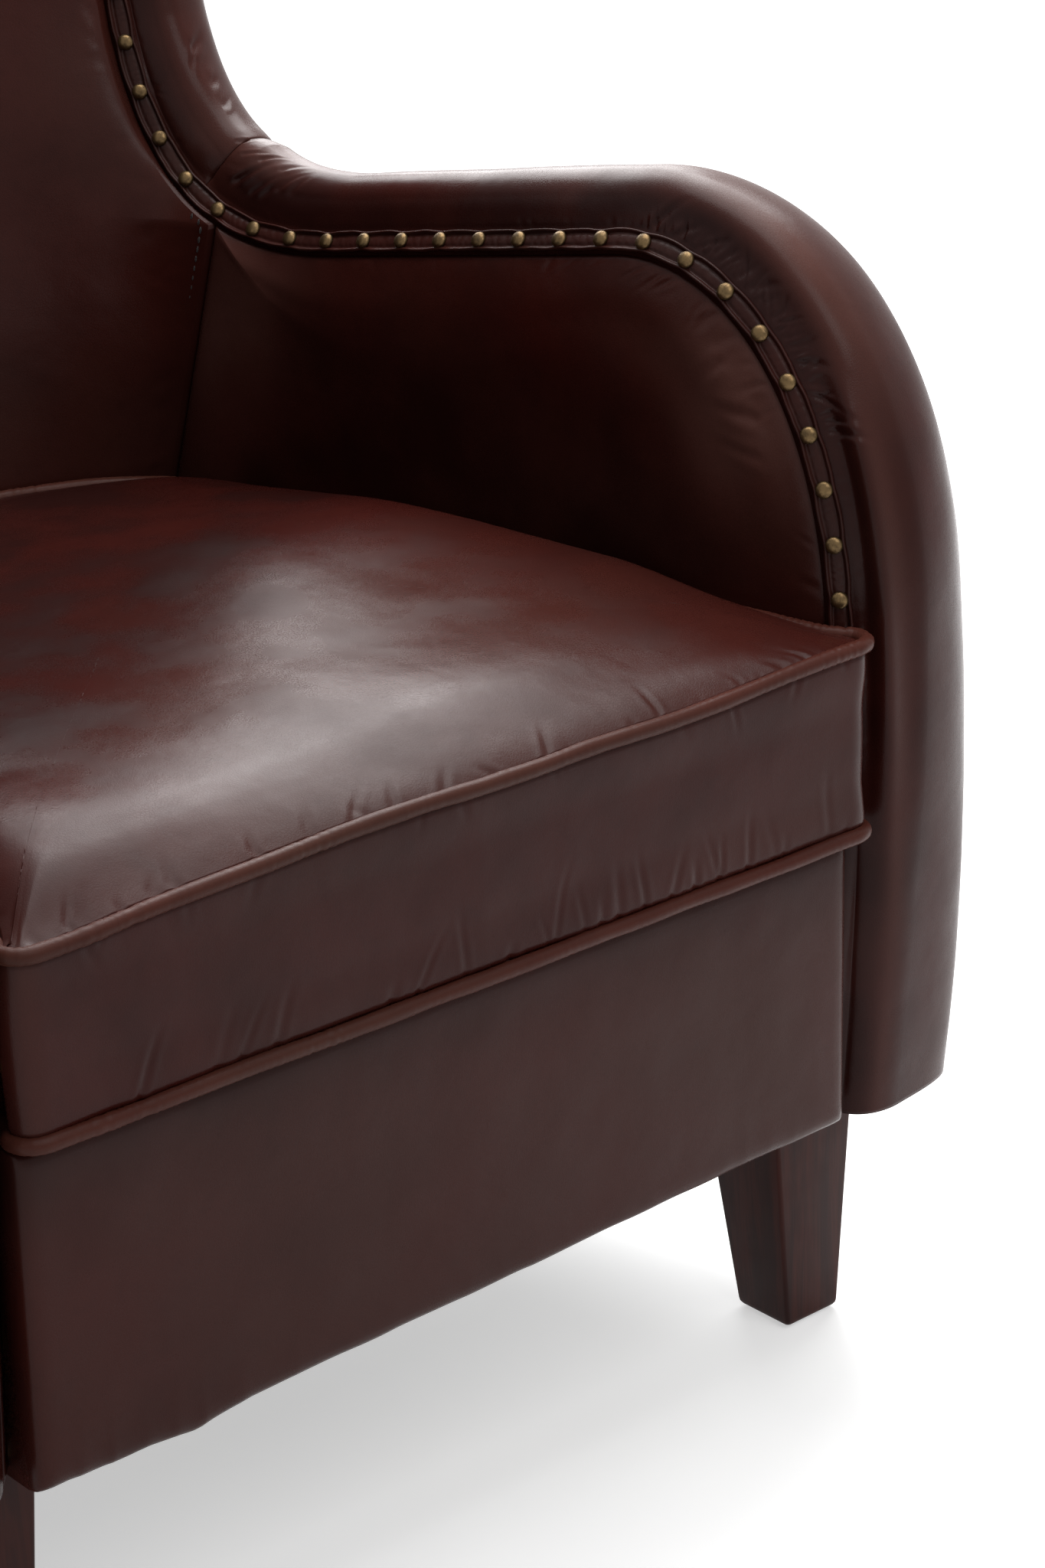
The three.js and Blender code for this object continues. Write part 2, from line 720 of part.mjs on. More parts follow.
function insideBackPad() {
  const shares = [...backAcrossShares.slice(1).toReversed().map((share) => -share), ...backAcrossShares];
  const lowLevels = levelsBetween(deckTop + gap, seamHeight, seamSteps);
  const lowEdge = lowLevels.map((z) => flatPoint(seamSetAt(z) + gap, z));
  const highEdge = offsetPoints(wingRisePlaces, -padTop).slice(1);
  const top = highEdge.at(-1).y;
  return loft(
    [...lowEdge, ...highEdge].map(({ x: set, y: z }) => {
      const lean = flareAt(z);
      const edgeDepth = set * taperCos + lean * taperSin;
      const roundShare = Math.max(0, (z - top + backTopRound) / backTopRound);
      const rounding = backTopRound * (1 - Math.sqrt(1 - Math.min(1, roundShare) ** 2));
      const centre = backCentreDepth + backLeanShare * Math.max(0, z - lumbarHeight) + rounding;
      const front = shares.map((share) => {
        const depth = centre - (centre - edgeDepth) * Math.abs(share) ** backScoopPower;
        return vec(share * halfWidthAt(-gap, depth, z), depth, z);
      });
      const rear = backDepthAt(z) - innerBackLimit;
      const wrap = edgeDepth + railEndReach * taperSin + gap;
      const sideHalf = halfWidthAt(railEndReach - gap, wrap, z);
      const rearHalf = halfWidthAt(railEndReach - gap, rear, z);
      const right = [vec(sideHalf, wrap, z), vec(rearHalf, rear, z)];
      return [...front, ...right, vec(-rearHalf, rear, z), vec(-sideHalf, wrap, z)];
    }),
  );
}

const crestDepth = backDepthAt(crestHeight) - panelOuter;

// What runs along the crest, cut to fit against the wings' bands
function crestRun(section, steps) {
  const rings = levelsBetween(-1, 1, steps).map((share) =>
    section.map((p) => {
      const depth = crestDepth + p.x;
      const half = halfWidthAt(bandPeakReach, depth, crestHeight + p.y);
      return vec(share * half, depth, crestHeight + p.y + crestArch * (1 - share ** 2));
    }),
  );
  const tools = [1, -1].map((mirror) => {
    const band = bandGeometry(wingPlaces, 2 * gap);
    band.rotateZ(taperAngle).translate(seatHalfWidth, 0, 0);
    return mirror < 0 ? mirrored(band) : band;
  });
  return cut(loft(rings), ...tools);
}

function crestTrim() {
  const strip = crestRun(stripCorners(), crestTrimSteps);
  const half = halfWidthAt(0, crestDepth, crestHeight);
  const count = Math.round((2 * half) / nailPitch);
  const nails = levelsBetween(-1, 1, count).slice(1, -1).map((share) => {
    const rise = nailSeat.y + crestArch * (1 - share ** 2);
    const seat = vec(share * half, crestDepth + nailSeat.x, crestHeight + rise);
    return nailHead(seat, vec(0, stripOut.x, stripOut.y));
  });
  return join(strip, ...nails);
}

function outsideBackPanel() {
  const top = crestHeight - padTop;
  return loft(
    leaningLevels(hemHeight, top).map((z) => {
      const rear = backDepthAt(z);
      const half = halfWidthAt(panelOuter, rear, z);
      const front = rear - backPanelThickness;
      return [vec(-half, front, z), vec(half, front, z), vec(half, rear, z), vec(-half, rear, z)];
    }),
  );
}

// Front border: padded, with rounded edges, its ends along the sides' taper
function frontBorder() {
  const half = borderHeight / 2;
  const middle = hemHeight + half;
  const rounds = borderRoundShares.map(([depth, inset]) => [borderRound * depth, borderRound * inset]);
  const rings = [[borderThickness - gap, 0], ...rounds].map(([depth, inset]) => {
    const width = halfWidthAt(0, depth) - gap - inset;
    const rise = half - inset;
    return [
      vec(-width, depth, middle - rise),
      vec(width, depth, middle - rise),
      vec(width, depth, middle + rise),
      vec(-width, depth, middle + rise),
    ];
  });
  return loft(rings);
}

// Legs, blocks and bolts, for the right-hand side

const frontLegTop = vec(frontLegCentre, frontLegSet + legTopWidth / 2, frameBottom - gap);
const rearLegBack = backDepthAt(hemHeight) - rearLegInset;
const rearLegTop = vec(rearLegCentre, rearLegBack - legTopWidth / 2, frameBottom - gap);
const legFootHeight = glideThickness + gap;

// Square tapered leg from its top's centre to its foot's centre
function leg(top, footCentre) {
  const rings = [
    [footCentre, legFootHeight, legFootWidth / 2 - legChamfer],
    [footCentre, legFootHeight + legChamfer, legFootWidth / 2],
    [top, top.z, legTopWidth / 2],
  ].map(([centre, z, half]) => [
    vec(centre.x - half, centre.y - half, z),
    vec(centre.x + half, centre.y - half, z),
    vec(centre.x + half, centre.y + half, z),
    vec(centre.x - half, centre.y + half, z),
  ]);
  const boltHoleRadius = boltRadius + boltClearance;
  const boltHole = uprightRod(boltHoleRadius, top.z - boltReach - gap, top.z + overrun, top, boltSides);
  const pinTop = glideThickness + glidePinLength + gap;
  const pinHole = uprightRod(glidePinRadius + boltClearance, -overrun, pinTop, footCentre, boltSides);
  return cut(loft(rings), boltHole, pinHole);
}

function glide(footCentre) {
  const profile = [
    new THREE.Vector2(0, 0),
    new THREE.Vector2(glideRadius, 0),
    new THREE.Vector2(glideRadius, glideThickness),
    new THREE.Vector2(glidePinRadius, glideThickness),
    new THREE.Vector2(glidePinRadius, glideThickness + glidePinLength),
    new THREE.Vector2(0, glideThickness + glidePinLength),
  ];
  const turned = new THREE.LatheGeometry(profile, boltSides).rotateX(Math.PI / 2);
  return turned.translate(footCentre.x, footCentre.y, 0);
}

function legBolt(top) {
  const blockTop = frameBottom + cornerBlockHeight;
  const shank = uprightRod(boltRadius, top.z - boltReach, blockTop + gap + nutHeight, top, boltSides);
  const nut = uprightRod(nutRadius, blockTop + gap, blockTop + gap + nutHeight, top, nutSides);
  return join(shank, nut);
}

// Block glued into a corner of the seat frame: corner is where two rails meet, the runs go along them
function cornerBlock(corner, alongCross, alongSide, boltPlace) {
  const reaches = [
    [0, 0],
    [cornerBlockLength, 0],
    [cornerBlockLength, cornerBlockTip],
    [cornerBlockTip, cornerBlockLength],
    [0, cornerBlockLength],
  ];
  const outline = reaches.map(([cross, side]) => {
    return corner.clone().addScaledVector(alongCross, cross).addScaledVector(alongSide, side);
  });
  const top = frameBottom + cornerBlockHeight;
  const rings = [frameBottom, top].map((z) => outline.map((p) => vec(p.x, p.y, z)));
  const holeRadius = boltRadius + boltClearance;
  const hole = uprightRod(holeRadius, frameBottom - overrun, top + overrun, boltPlace, boltSides);
  return cut(loft(rings), hole);
}

// Sinuous spring with a clip at each end, along +Y at a place across the seat
function seatSpring(x, front, rear) {
  const length = rear - front;
  const waves = Math.round(length / springPitch);
  const height = railTop + gap + springWireRadius;
  const steps = waves * springWaveSteps;
  const points = levelsBetween(0, 1, steps).map((share) => {
    const wave = springWave * Math.sin(share * waves * 2 * Math.PI);
    return vec(x + wave, front + length * share, height);
  });
  const wire = new THREE.Shape(
    levelsBetween(0, 2 * Math.PI, springSides).slice(0, -1).map((angle) => {
      return flatPoint(springWireRadius * Math.cos(angle), springWireRadius * Math.sin(angle));
    }),
  );
  const body = new THREE.ExtrudeGeometry(wire, {
    steps,
    bevelEnabled: false,
    extrudePath: new THREE.CatmullRomCurve3(points),
  });
  const clips = [front, rear].map((y) => {
    const low = vec(x - clipWidth / 2, y - clipDepth / 2, railTop + gap);
    const high = vec(x + clipWidth / 2, y + clipDepth / 2, railTop + gap + clipHeight);
    return boxBetween(low, high);
  });
  return join(body, ...clips);
}

// The loose cushion

// Plan of the cushion, drawn in between its corners, with a bowed rear edge
function cushionPlan() {
  const inset = cushionSideGap + pipingRadius;
  const front = -cushionOverhang;
  const rear = backCentreDepth - cushionSideGap - pipingRadius - cushionBow;
  const frontHalf = halfWidthAt(-inset, front);
  const rearHalf = halfWidthAt(-inset, rear);
  const sideX = (y) => halfWidthAt(-inset, y);
  const half = new THREE.Path();
  half.moveTo(0, front);
  const turn = front + cushionFrontRadius;
  const earEnd = front + cushionEarLength;
  const earHalf = frontHalf + cushionEar;
  half.quadraticCurveTo(frontHalf / 2, front + cushionPull / 2, earHalf - cushionFrontRadius, front);
  half.quadraticCurveTo(earHalf, front, earHalf, turn);
  half.quadraticCurveTo(sideX(turn), (turn + earEnd) / 2, sideX(earEnd), earEnd);
  const middle = (front + rear) / 2;
  const bend = rear - cushionRearRadius;
  half.quadraticCurveTo(sideX(middle) - cushionPull, middle, sideX(bend), bend);
  const shoulder = rearHalf - cushionRearRadius * cushionShoulderShare;
  const shoulderRise = cushionBow * (1 - (shoulder / rearHalf) ** 2);
  half.quadraticCurveTo(rearHalf, rear, shoulder, rear + shoulderRise);
  half.quadraticCurveTo(shoulder / 2, rear + cushionBow, 0, rear + cushionBow);
  const right = half.curves.flatMap((curve, i) => curve.getPoints(rimSteps[i]).slice(i ? 1 : 0));
  const left = right.slice(1, -1).toReversed().map((p) => flatPoint(-p.x, p.y));
  return [...right, ...left];
}

const rim = cushionPlan();
const rimHeart = flatPoint(0, (backCentreDepth - cushionOverhang) / 2);
const rimNormals = rim.map((_, i) => {
  const before = rim[(i + rim.length - 1) % rim.length];
  const after = rim[(i + 1) % rim.length];
  const run = after.clone().sub(before).normalize();
  return flatPoint(run.y, -run.x);
});

// The rim moved in by an inset: square to the edge while it is small, toward the heart beyond that
function rimInset(inset, z) {
  const square = Math.min(inset, squareInset);
  return rim.map((p, i) => {
    const moved = p.clone().addScaledVector(rimNormals[i], -square);
    const toHeart = (inset - square) / moved.distanceTo(rimHeart);
    moved.lerp(rimHeart, Math.min(toHeart, heartLimitShare));
    return vec(moved.x, moved.y, z);
  });
}

const lowerPipingZ = cushionBottom + lowerPipingHeight;
const upperPipingZ = cushionBottom + boxingHeight;
const grooveDepth = (pipingRadius + pipingClearance) * Math.SQRT2;
// Rings of the crown: inset from the rim, and height
const crownRings = crownShares.map(([run, rise]) => [crownRun * run, upperPipingZ + cushionCrown * rise]);

// Skin of the cushion from its bottom over the grooves and the boxing to the crown
function cushionSkin() {
  const [lipInset, lipRise] = grooveLipShares.map((share) => grooveDepth * share);
  const rings = [
    [cushionUnderInset, cushionBottom],
    [grooveDepth + cushionEdgeInset, cushionBottom],
    [grooveDepth, lowerPipingZ],
    [0, lowerPipingZ + grooveDepth],
    [-boxingBulge, (lowerPipingZ + upperPipingZ) / 2],
    [0, upperPipingZ - grooveDepth],
    [grooveDepth, upperPipingZ],
    [lipInset, upperPipingZ + lipRise],
    ...crownRings,
  ];
  return loft(rings.map(([inset, z]) => rimInset(inset, z)));
}

// The space inside the cover's wall, less a clearance
function cushionCore(clearance) {
  const wall = coverThickness + clearance;
  const rings = [
    [grooveDepth + wall, cushionBottom + wall],
    [wall, lowerPipingZ + grooveDepth + wall],
    [wall, upperPipingZ - grooveDepth - wall],
    [grooveDepth + wall, upperPipingZ - wall / 2],
    ...crownRings.slice(1).map(([inset, z]) => [inset + wall, z - wall]),
  ];
  return loft(rings.map(([inset, z]) => rimInset(inset, z)));
}

function zipSlot(clearance) {
  const middle = (lowerPipingZ + upperPipingZ) / 2;
  const halfLength = zipHalfLength - clearance;
  const halfHeight = zipHeight / 2 - clearance;
  const low = vec(-halfLength, backCentreDepth - cushionBow * 2, middle - halfHeight);
  return boxBetween(low, vec(halfLength, backCentreDepth + overrun, middle + halfHeight));
}

function pipingLoop(z) {
  const line = rimInset(-gap, z);
  const rings = line.map((p, i) => {
    const outward = rimNormals[i];
    return levelsBetween(0, 2 * Math.PI, pipingSides).slice(0, -1).map((angle) => {
      const across = pipingRadius * Math.cos(angle);
      return vec(p.x + outward.x * across, p.y + outward.y * across, p.z + pipingRadius * Math.sin(angle));
    });
  });
  return loft(rings, true);
}

// Assembly

const chair = new THREE.Group();
chair.name = "wing_armchair";

for (const [side, mirror] of [["right", 1], ["left", -1]]) {
  const half = new THREE.Group();
  half.scale.x = mirror;
  chair.add(half);

  const flank = new THREE.Group();
  flank.position.x = seatHalfWidth;
  flank.rotation.z = taperAngle;
  half.add(flank);

  const wingBackInset = backPanelThickness + gap + postDepth + gap;
  const armPost = memberGeometry(frontPlaces.slice(0, -1), 0, frameBottom);
  addPiece(flank, `${side}_front_arm_post`, armPost, frameWood);
  addPiece(flank, `${side}_arm_rail`, armRail(), frameWood);
  const wingMember = memberGeometry(wingPlaces, wingBackInset, seamHeight + gap);
  addPiece(flank, `${side}_wing_frame`, wingMember, frameWood);
  addPiece(flank, `${side}_side_rail`, sideRail(), frameWood);
  addPiece(flank, `${side}_back_post`, backPost(), frameWood);
  addPiece(flank, `${side}_inside_arm_pad`, insideArmPad(), leather);
  addPiece(flank, `${side}_outside_arm_panel`, outsideArmPanel(), leather);
  addPiece(flank, `${side}_outside_wing_panel`, outsideWingPanel(), leather);
  addPiece(flank, `${side}_arm_band`, bandGeometry(armPlaces), leather);
  addPiece(flank, `${side}_wing_band`, bandGeometry(wingPlaces), leather);

  const trimLow = paramAtHeight(frontRun, trimStart);
  const trimEnd = setAtDepth(trimReach, crestDepth, crestHeight);
  const tailShare = (trimEnd - wingTopEnd.x) / tailRun.getLength();
  const trimPlaces = chain(
    placesOn(frontRun, trimLow, 1, padLowSteps, 0, 0),
    placesOn(humpRun, 0, 1, runSteps.hump, 0, 0),
    placesOn(armRun, 0, 1, runSteps.arm, 0, 0),
    placesOn(sweepRun, 0, 1, runSteps.sweepLow + runSteps.sweepHigh, 0, 0),
    placesOn(wingRun, 0, 1, runSteps.wing, 0, 0),
    placesOn(wingFaceRun, 0, 1, runSteps.face, 0, 0),
    placesOn(wingTopRun, 0, 1, runSteps.top, 0, 0),
    placesOn(tailRun, 0, tailShare, 1, 0, 0),
  );
  addPiece(flank, `${side}_nail_trim`, trimGeometry(trimPlaces), leather);

  const toMiddle = flatPoint(-1, 0);
  const narrow = narrowShareOf(frameInner);
  const sideRun = flatPoint(-narrow * taperCos - taperSin, taperCos - narrow * taperSin).normalize();
  const frontRailRear = borderThickness + railThickness + gap;
  const frontCorner = flatPoint(halfWidthAt(railEndReach, frontRailRear), frontRailRear);
  const rearRailFront = backDepthAt(frameBottom) - backPanelThickness - gap - railThickness - gap;
  const rearCorner = flatPoint(halfWidthAt(railEndReach, rearRailFront), rearRailFront);
  const frontFoot = vec(frontLegCentre, frontLegSet + legFootWidth / 2, 0);
  const rearFoot = vec(rearLegCentre, rearLegTop.y + rearLegRake, 0);
  const corners = [
    ["front", frontLegTop, frontFoot, frontCorner, sideRun],
    ["rear", rearLegTop, rearFoot, rearCorner, sideRun.clone().negate()],
  ];
  for (const [end, top, footCentre, corner, run] of corners) {
    addPiece(half, `${end}_${side}_corner_block`, cornerBlock(corner, toMiddle, run, top), frameWood);
    addPiece(half, `${end}_${side}_leg`, leg(top, footCentre), legWood);
    addPiece(half, `${end}_${side}_leg_bolt`, legBolt(top), steel);
    addPiece(half, `${end}_${side}_glide`, glide(footCentre), glidePlastic);
  }
}

const rearFaceAt = (inset) => (z) => backDepthAt(z) - inset;
const steady = (value) => () => value;
const backLayer = backPanelThickness + gap;

const frontRail = crossSlab(
  [frameBottom, railTop],
  railEndReach,
  steady(borderThickness),
  steady(borderThickness + railThickness),
);
addPiece(chair, "front_seat_rail", frontRail, frameWood);

const rearRail = crossSlab(
  [frameBottom, railTop],
  railEndReach,
  rearFaceAt(backLayer + railThickness),
  rearFaceAt(backLayer),
);
addPiece(chair, "rear_seat_rail", rearRail, frameWood);

const topRailTop = crestHeight - padTop - gap;
const topRail = crossSlab(
  levelsBetween(topRailTop - topRailHeight, topRailTop, topRailSteps),
  railEndReach,
  rearFaceAt(backLayer + postDepth),
  rearFaceAt(backLayer),
);
addPiece(chair, "top_back_rail", topRail, frameWood);

const lowerRail = crossSlab(
  [lowerRailBottom, lowerRailBottom + lowerRailHeight],
  railEndReach,
  rearFaceAt(backLayer + postDepth),
  rearFaceAt(backLayer + postDepth - railThickness),
);
addPiece(chair, "lower_back_rail", lowerRail, frameWood);

const webbing = crossSlab(
  leaningLevels(lowerRailBottom, topRailTop),
  railEndReach - gap,
  rearFaceAt(backLayer + postDepth + gap + webbingThickness),
  rearFaceAt(backLayer + postDepth + gap),
);
addPiece(chair, "back_webbing", webbing, darkCloth);

addPiece(chair, "front_border", frontBorder(), leather);
addPiece(chair, "inside_back_pad", insideBackPad(), leather);
addPiece(chair, "outside_back_panel", outsideBackPanel(), leather);
addPiece(chair, "crest_band", crestRun(bandSection(bandWingHeight), crestBandSteps), leather);
addPiece(chair, "crest_nail_trim", crestTrim(), leather);

const springFront = borderThickness + railThickness / 2;
const springRear = backDepthAt(railTop) - backLayer - railThickness / 2;
levelsBetween(-springSpread / 2, springSpread / 2, springCount - 1).forEach((x, i) => {
  addPiece(chair, `seat_spring_${i + 1}`, seatSpring(x, springFront, springRear), steel);
});

const springCover = crossSlab(
  [coverBottom, coverBottom + springCoverThickness],
  railEndReach,
  steady(borderThickness),
  rearFaceAt(backLayer + gap),
);
addPiece(chair, "spring_cover", springCover, darkCloth);

const deck = crossSlab([deckBottom, deckTop], -gap, steady(borderThickness), rearFaceAt(innerBackLimit));
addPiece(chair, "seat_deck", deck, darkCloth);

const dustCoverTop = frameBottom - gap;
const dustCoverLevels = [dustCoverTop - dustCoverThickness, dustCoverTop];
const dustCoverFront = footSet + padTop + memberDepth;
const legTools = [frontLegTop, rearLegTop].flatMap((top) =>
  [1, -1].map((mirror) => {
    const half = legTopWidth / 2 + legClearance;
    const low = vec(top.x * mirror - half, top.y - half, dustCoverTop - dustCoverThickness - overrun);
    return boxBetween(low, vec(top.x * mirror + half, top.y + half, dustCoverTop + overrun));
  }),
);
const dustCover = cut(
  crossSlab(dustCoverLevels, dustCoverReach, steady(dustCoverFront), rearFaceAt(backLayer + gap)),
  ...legTools,
);
addPiece(chair, "dust_cover", dustCover, darkCloth);

const coverWall = solidOf(cushionSkin()).subtract(solidOf(cushionCore(0)));
addPiece(chair, "seat_cushion_cover", geometryOf(coverWall.subtract(solidOf(zipSlot(0)))), leather);
addPiece(chair, "seat_cushion_zip", geometryOf(coverWall.intersect(solidOf(zipSlot(gap)))), zipTape);
addPiece(chair, "seat_cushion_foam", cushionCore(gap), foam);
addPiece(chair, "cushion_lower_piping", pipingLoop(lowerPipingZ), piping);
addPiece(chair, "cushion_upper_piping", pipingLoop(upperPipingZ), piping);

// The origin is under the middle of the whole chair
chair.updateMatrixWorld(true);
const extent = new THREE.Box3().setFromObject(chair, true);
chair.position.y = -(extent.min.y + extent.max.y) / 2;

export default chair;
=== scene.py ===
"""A leather wing armchair with a nailed trim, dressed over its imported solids.

The plan below keeps the chair's lengths in millimetres; the scene itself is in metres.
"""

import json
import logging
import math
from dataclasses import dataclass
from enum import Enum
from typing import Callable, Sequence

import bmesh
import bpy
import numpy as np
from mathutils import Matrix, Vector
from mathutils.kdtree import KDTree

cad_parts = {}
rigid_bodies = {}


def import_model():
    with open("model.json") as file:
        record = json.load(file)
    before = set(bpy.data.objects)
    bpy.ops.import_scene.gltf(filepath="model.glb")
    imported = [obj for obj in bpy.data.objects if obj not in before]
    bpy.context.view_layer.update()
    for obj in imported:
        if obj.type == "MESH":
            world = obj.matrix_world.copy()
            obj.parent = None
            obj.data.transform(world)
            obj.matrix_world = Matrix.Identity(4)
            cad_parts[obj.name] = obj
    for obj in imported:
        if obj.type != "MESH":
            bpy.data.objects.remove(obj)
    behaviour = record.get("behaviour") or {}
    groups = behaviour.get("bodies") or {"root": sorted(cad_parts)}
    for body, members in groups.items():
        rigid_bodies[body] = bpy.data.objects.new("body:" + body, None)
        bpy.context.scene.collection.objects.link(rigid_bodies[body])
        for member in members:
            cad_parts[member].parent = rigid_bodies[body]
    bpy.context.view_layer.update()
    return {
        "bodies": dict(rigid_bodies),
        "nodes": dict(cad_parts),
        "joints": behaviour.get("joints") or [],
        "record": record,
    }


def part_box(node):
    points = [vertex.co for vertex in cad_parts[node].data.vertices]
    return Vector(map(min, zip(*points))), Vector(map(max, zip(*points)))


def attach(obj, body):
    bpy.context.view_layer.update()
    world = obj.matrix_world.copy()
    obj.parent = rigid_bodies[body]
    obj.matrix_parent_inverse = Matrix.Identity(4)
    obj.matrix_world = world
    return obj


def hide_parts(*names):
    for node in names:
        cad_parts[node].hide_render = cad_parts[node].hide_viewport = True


LOG = logging.getLogger("wing_armchair")
Points = np.ndarray
Values = np.ndarray
Piece = bpy.types.Object
Material = bpy.types.Material
Tree = bpy.types.NodeTree
Node = bpy.types.Node
Socket = bpy.types.NodeSocket
MM = 0.001
SIDES = (("right", 1), ("left", -1))


# Plan of the chair


def points_of(*parts: Values) -> Points:
    """Points from their coordinates, each an array or one number."""
    return np.stack(np.broadcast_arrays(*parts), axis=-1)


def lengths_along(points: Points) -> Values:
    """Length from the first point to each point of a line."""
    return np.concatenate([[0], np.cumsum(np.linalg.norm(np.diff(points, axis=0), axis=1))])


def points_along(spots: Values, lengths: Values, points: Points) -> Points:
    """Points of a flat line at given lengths along it."""
    return points_of(*(np.interp(spots, lengths, points[:, i]) for i in (0, 1)))


@dataclass(frozen=True)
class ChairPlan:
    """Lengths of the chair in millimetres: reach goes out across a side, set goes back along it."""

    seat_half_width: float = 281.0
    side_taper: float = 0.13
    hem_height: float = 142.0
    crest_height: float = 1000.0
    back_foot_depth: float = 645.0
    back_rake: float = 0.1645
    wing_flare: float = 34.0
    flare_start: float = 649.9
    thin_core: float = 20.0
    thin_length: float = 1400.0
    pad_thickness: float = 45.0
    frame_outer: float = 90.0
    panel_outer: float = 100.0
    gap: float = 0.3
    pad_top: float = 9.3
    deck_bottom: float = 303.3
    deck_top: float = 329.7
    seam_run: float = 0.284
    back_centre: float = 588.0
    back_layer: float = 10.3

    @property
    def turn(self) -> float:
        """Angle of a side off straight back."""
        return math.atan(self.side_taper)

    @property
    def crest_depth(self) -> float:
        """Depth of the line that the crest's trim follows."""
        return float(self.back_depth(self.crest_height)) - self.panel_outer

    def flare(self, height: Values) -> Values:
        """Outward lean of the wings at a height."""
        share = np.maximum(0.0, np.asarray(height, float) - self.flare_start)
        return self.wing_flare * (share / (self.crest_height - self.flare_start)) ** 2

    def back_depth(self, height: Values) -> Values:
        """Depth of the outside back at a height."""
        return self.back_foot_depth + self.back_rake * (np.asarray(height, float) - self.hem_height)

    def thinning(self, reach: Values) -> Values:
        """Inward run of a layer for each millimetre of set."""
        return np.maximum(0.0, np.asarray(reach, float) - self.thin_core) / self.thin_length

    def on_side(self, reach: Values, setback: Values, height: Values) -> Points:
        """Point of the right side in the chair's frame.

        Args:
            reach: distance out from the inner arm face.
            setback: distance back along the side.
            height: distance over the floor.

        Returns:
            The points, with their three coordinates on the last axis.
        """
        reach, setback, height = np.broadcast_arrays(*(np.asarray(v, float) for v in (reach, setback, height)))
        out = reach - self.thinning(reach) * setback + self.flare(height)
        x = self.seat_half_width + out * math.cos(self.turn) - setback * math.sin(self.turn)
        y = out * math.sin(self.turn) + setback * math.cos(self.turn)
        return points_of(x, y, height)

    def set_at_depth(self, reach: Values, depth: Values, height: Values) -> Values:
        """Set at which a layer of a side crosses a depth of the chair."""
        lean = np.asarray(reach, float) + self.flare(height)
        run = math.cos(self.turn) - self.thinning(reach) * math.sin(self.turn)
        return (np.asarray(depth, float) - lean * math.sin(self.turn)) / run

    def half_width(self, reach: Values, depth: Values, height: Values = 0.0) -> Values:
        """Half width of the chair on a layer's plane at a depth."""
        return self.on_side(reach, self.set_at_depth(reach, depth, height), height)[..., 0]

    def back_set(self, reach: Values, height: Values, inset: float) -> Values:
        """Set of the outside back's plane on a layer, less an inset."""
        return self.set_at_depth(reach, self.back_depth(height) - inset, height)


PLAN = ChairPlan()


@dataclass(frozen=True)
class Places:
    """Places along the nail line: point, outward direction, crown of the band and length from the foot."""

    at: Points
    out: Points
    crown: Values
    along: Values


def bezier(corners: Sequence[Sequence[float]], shares: Values) -> Points:
    """Points of a Bezier run.

    Args:
        corners: its control points.
        shares: places along it, from 0 to 1.

    Returns:
        One point for each share.
    """
    layers = [np.tile(np.asarray(c, float), (len(shares), 1)) for c in corners]
    t = shares[:, None]
    while len(layers) > 1:
        layers = [a * (1 - t) + b * t for a, b in zip(layers, layers[1:])]
    return layers[0]


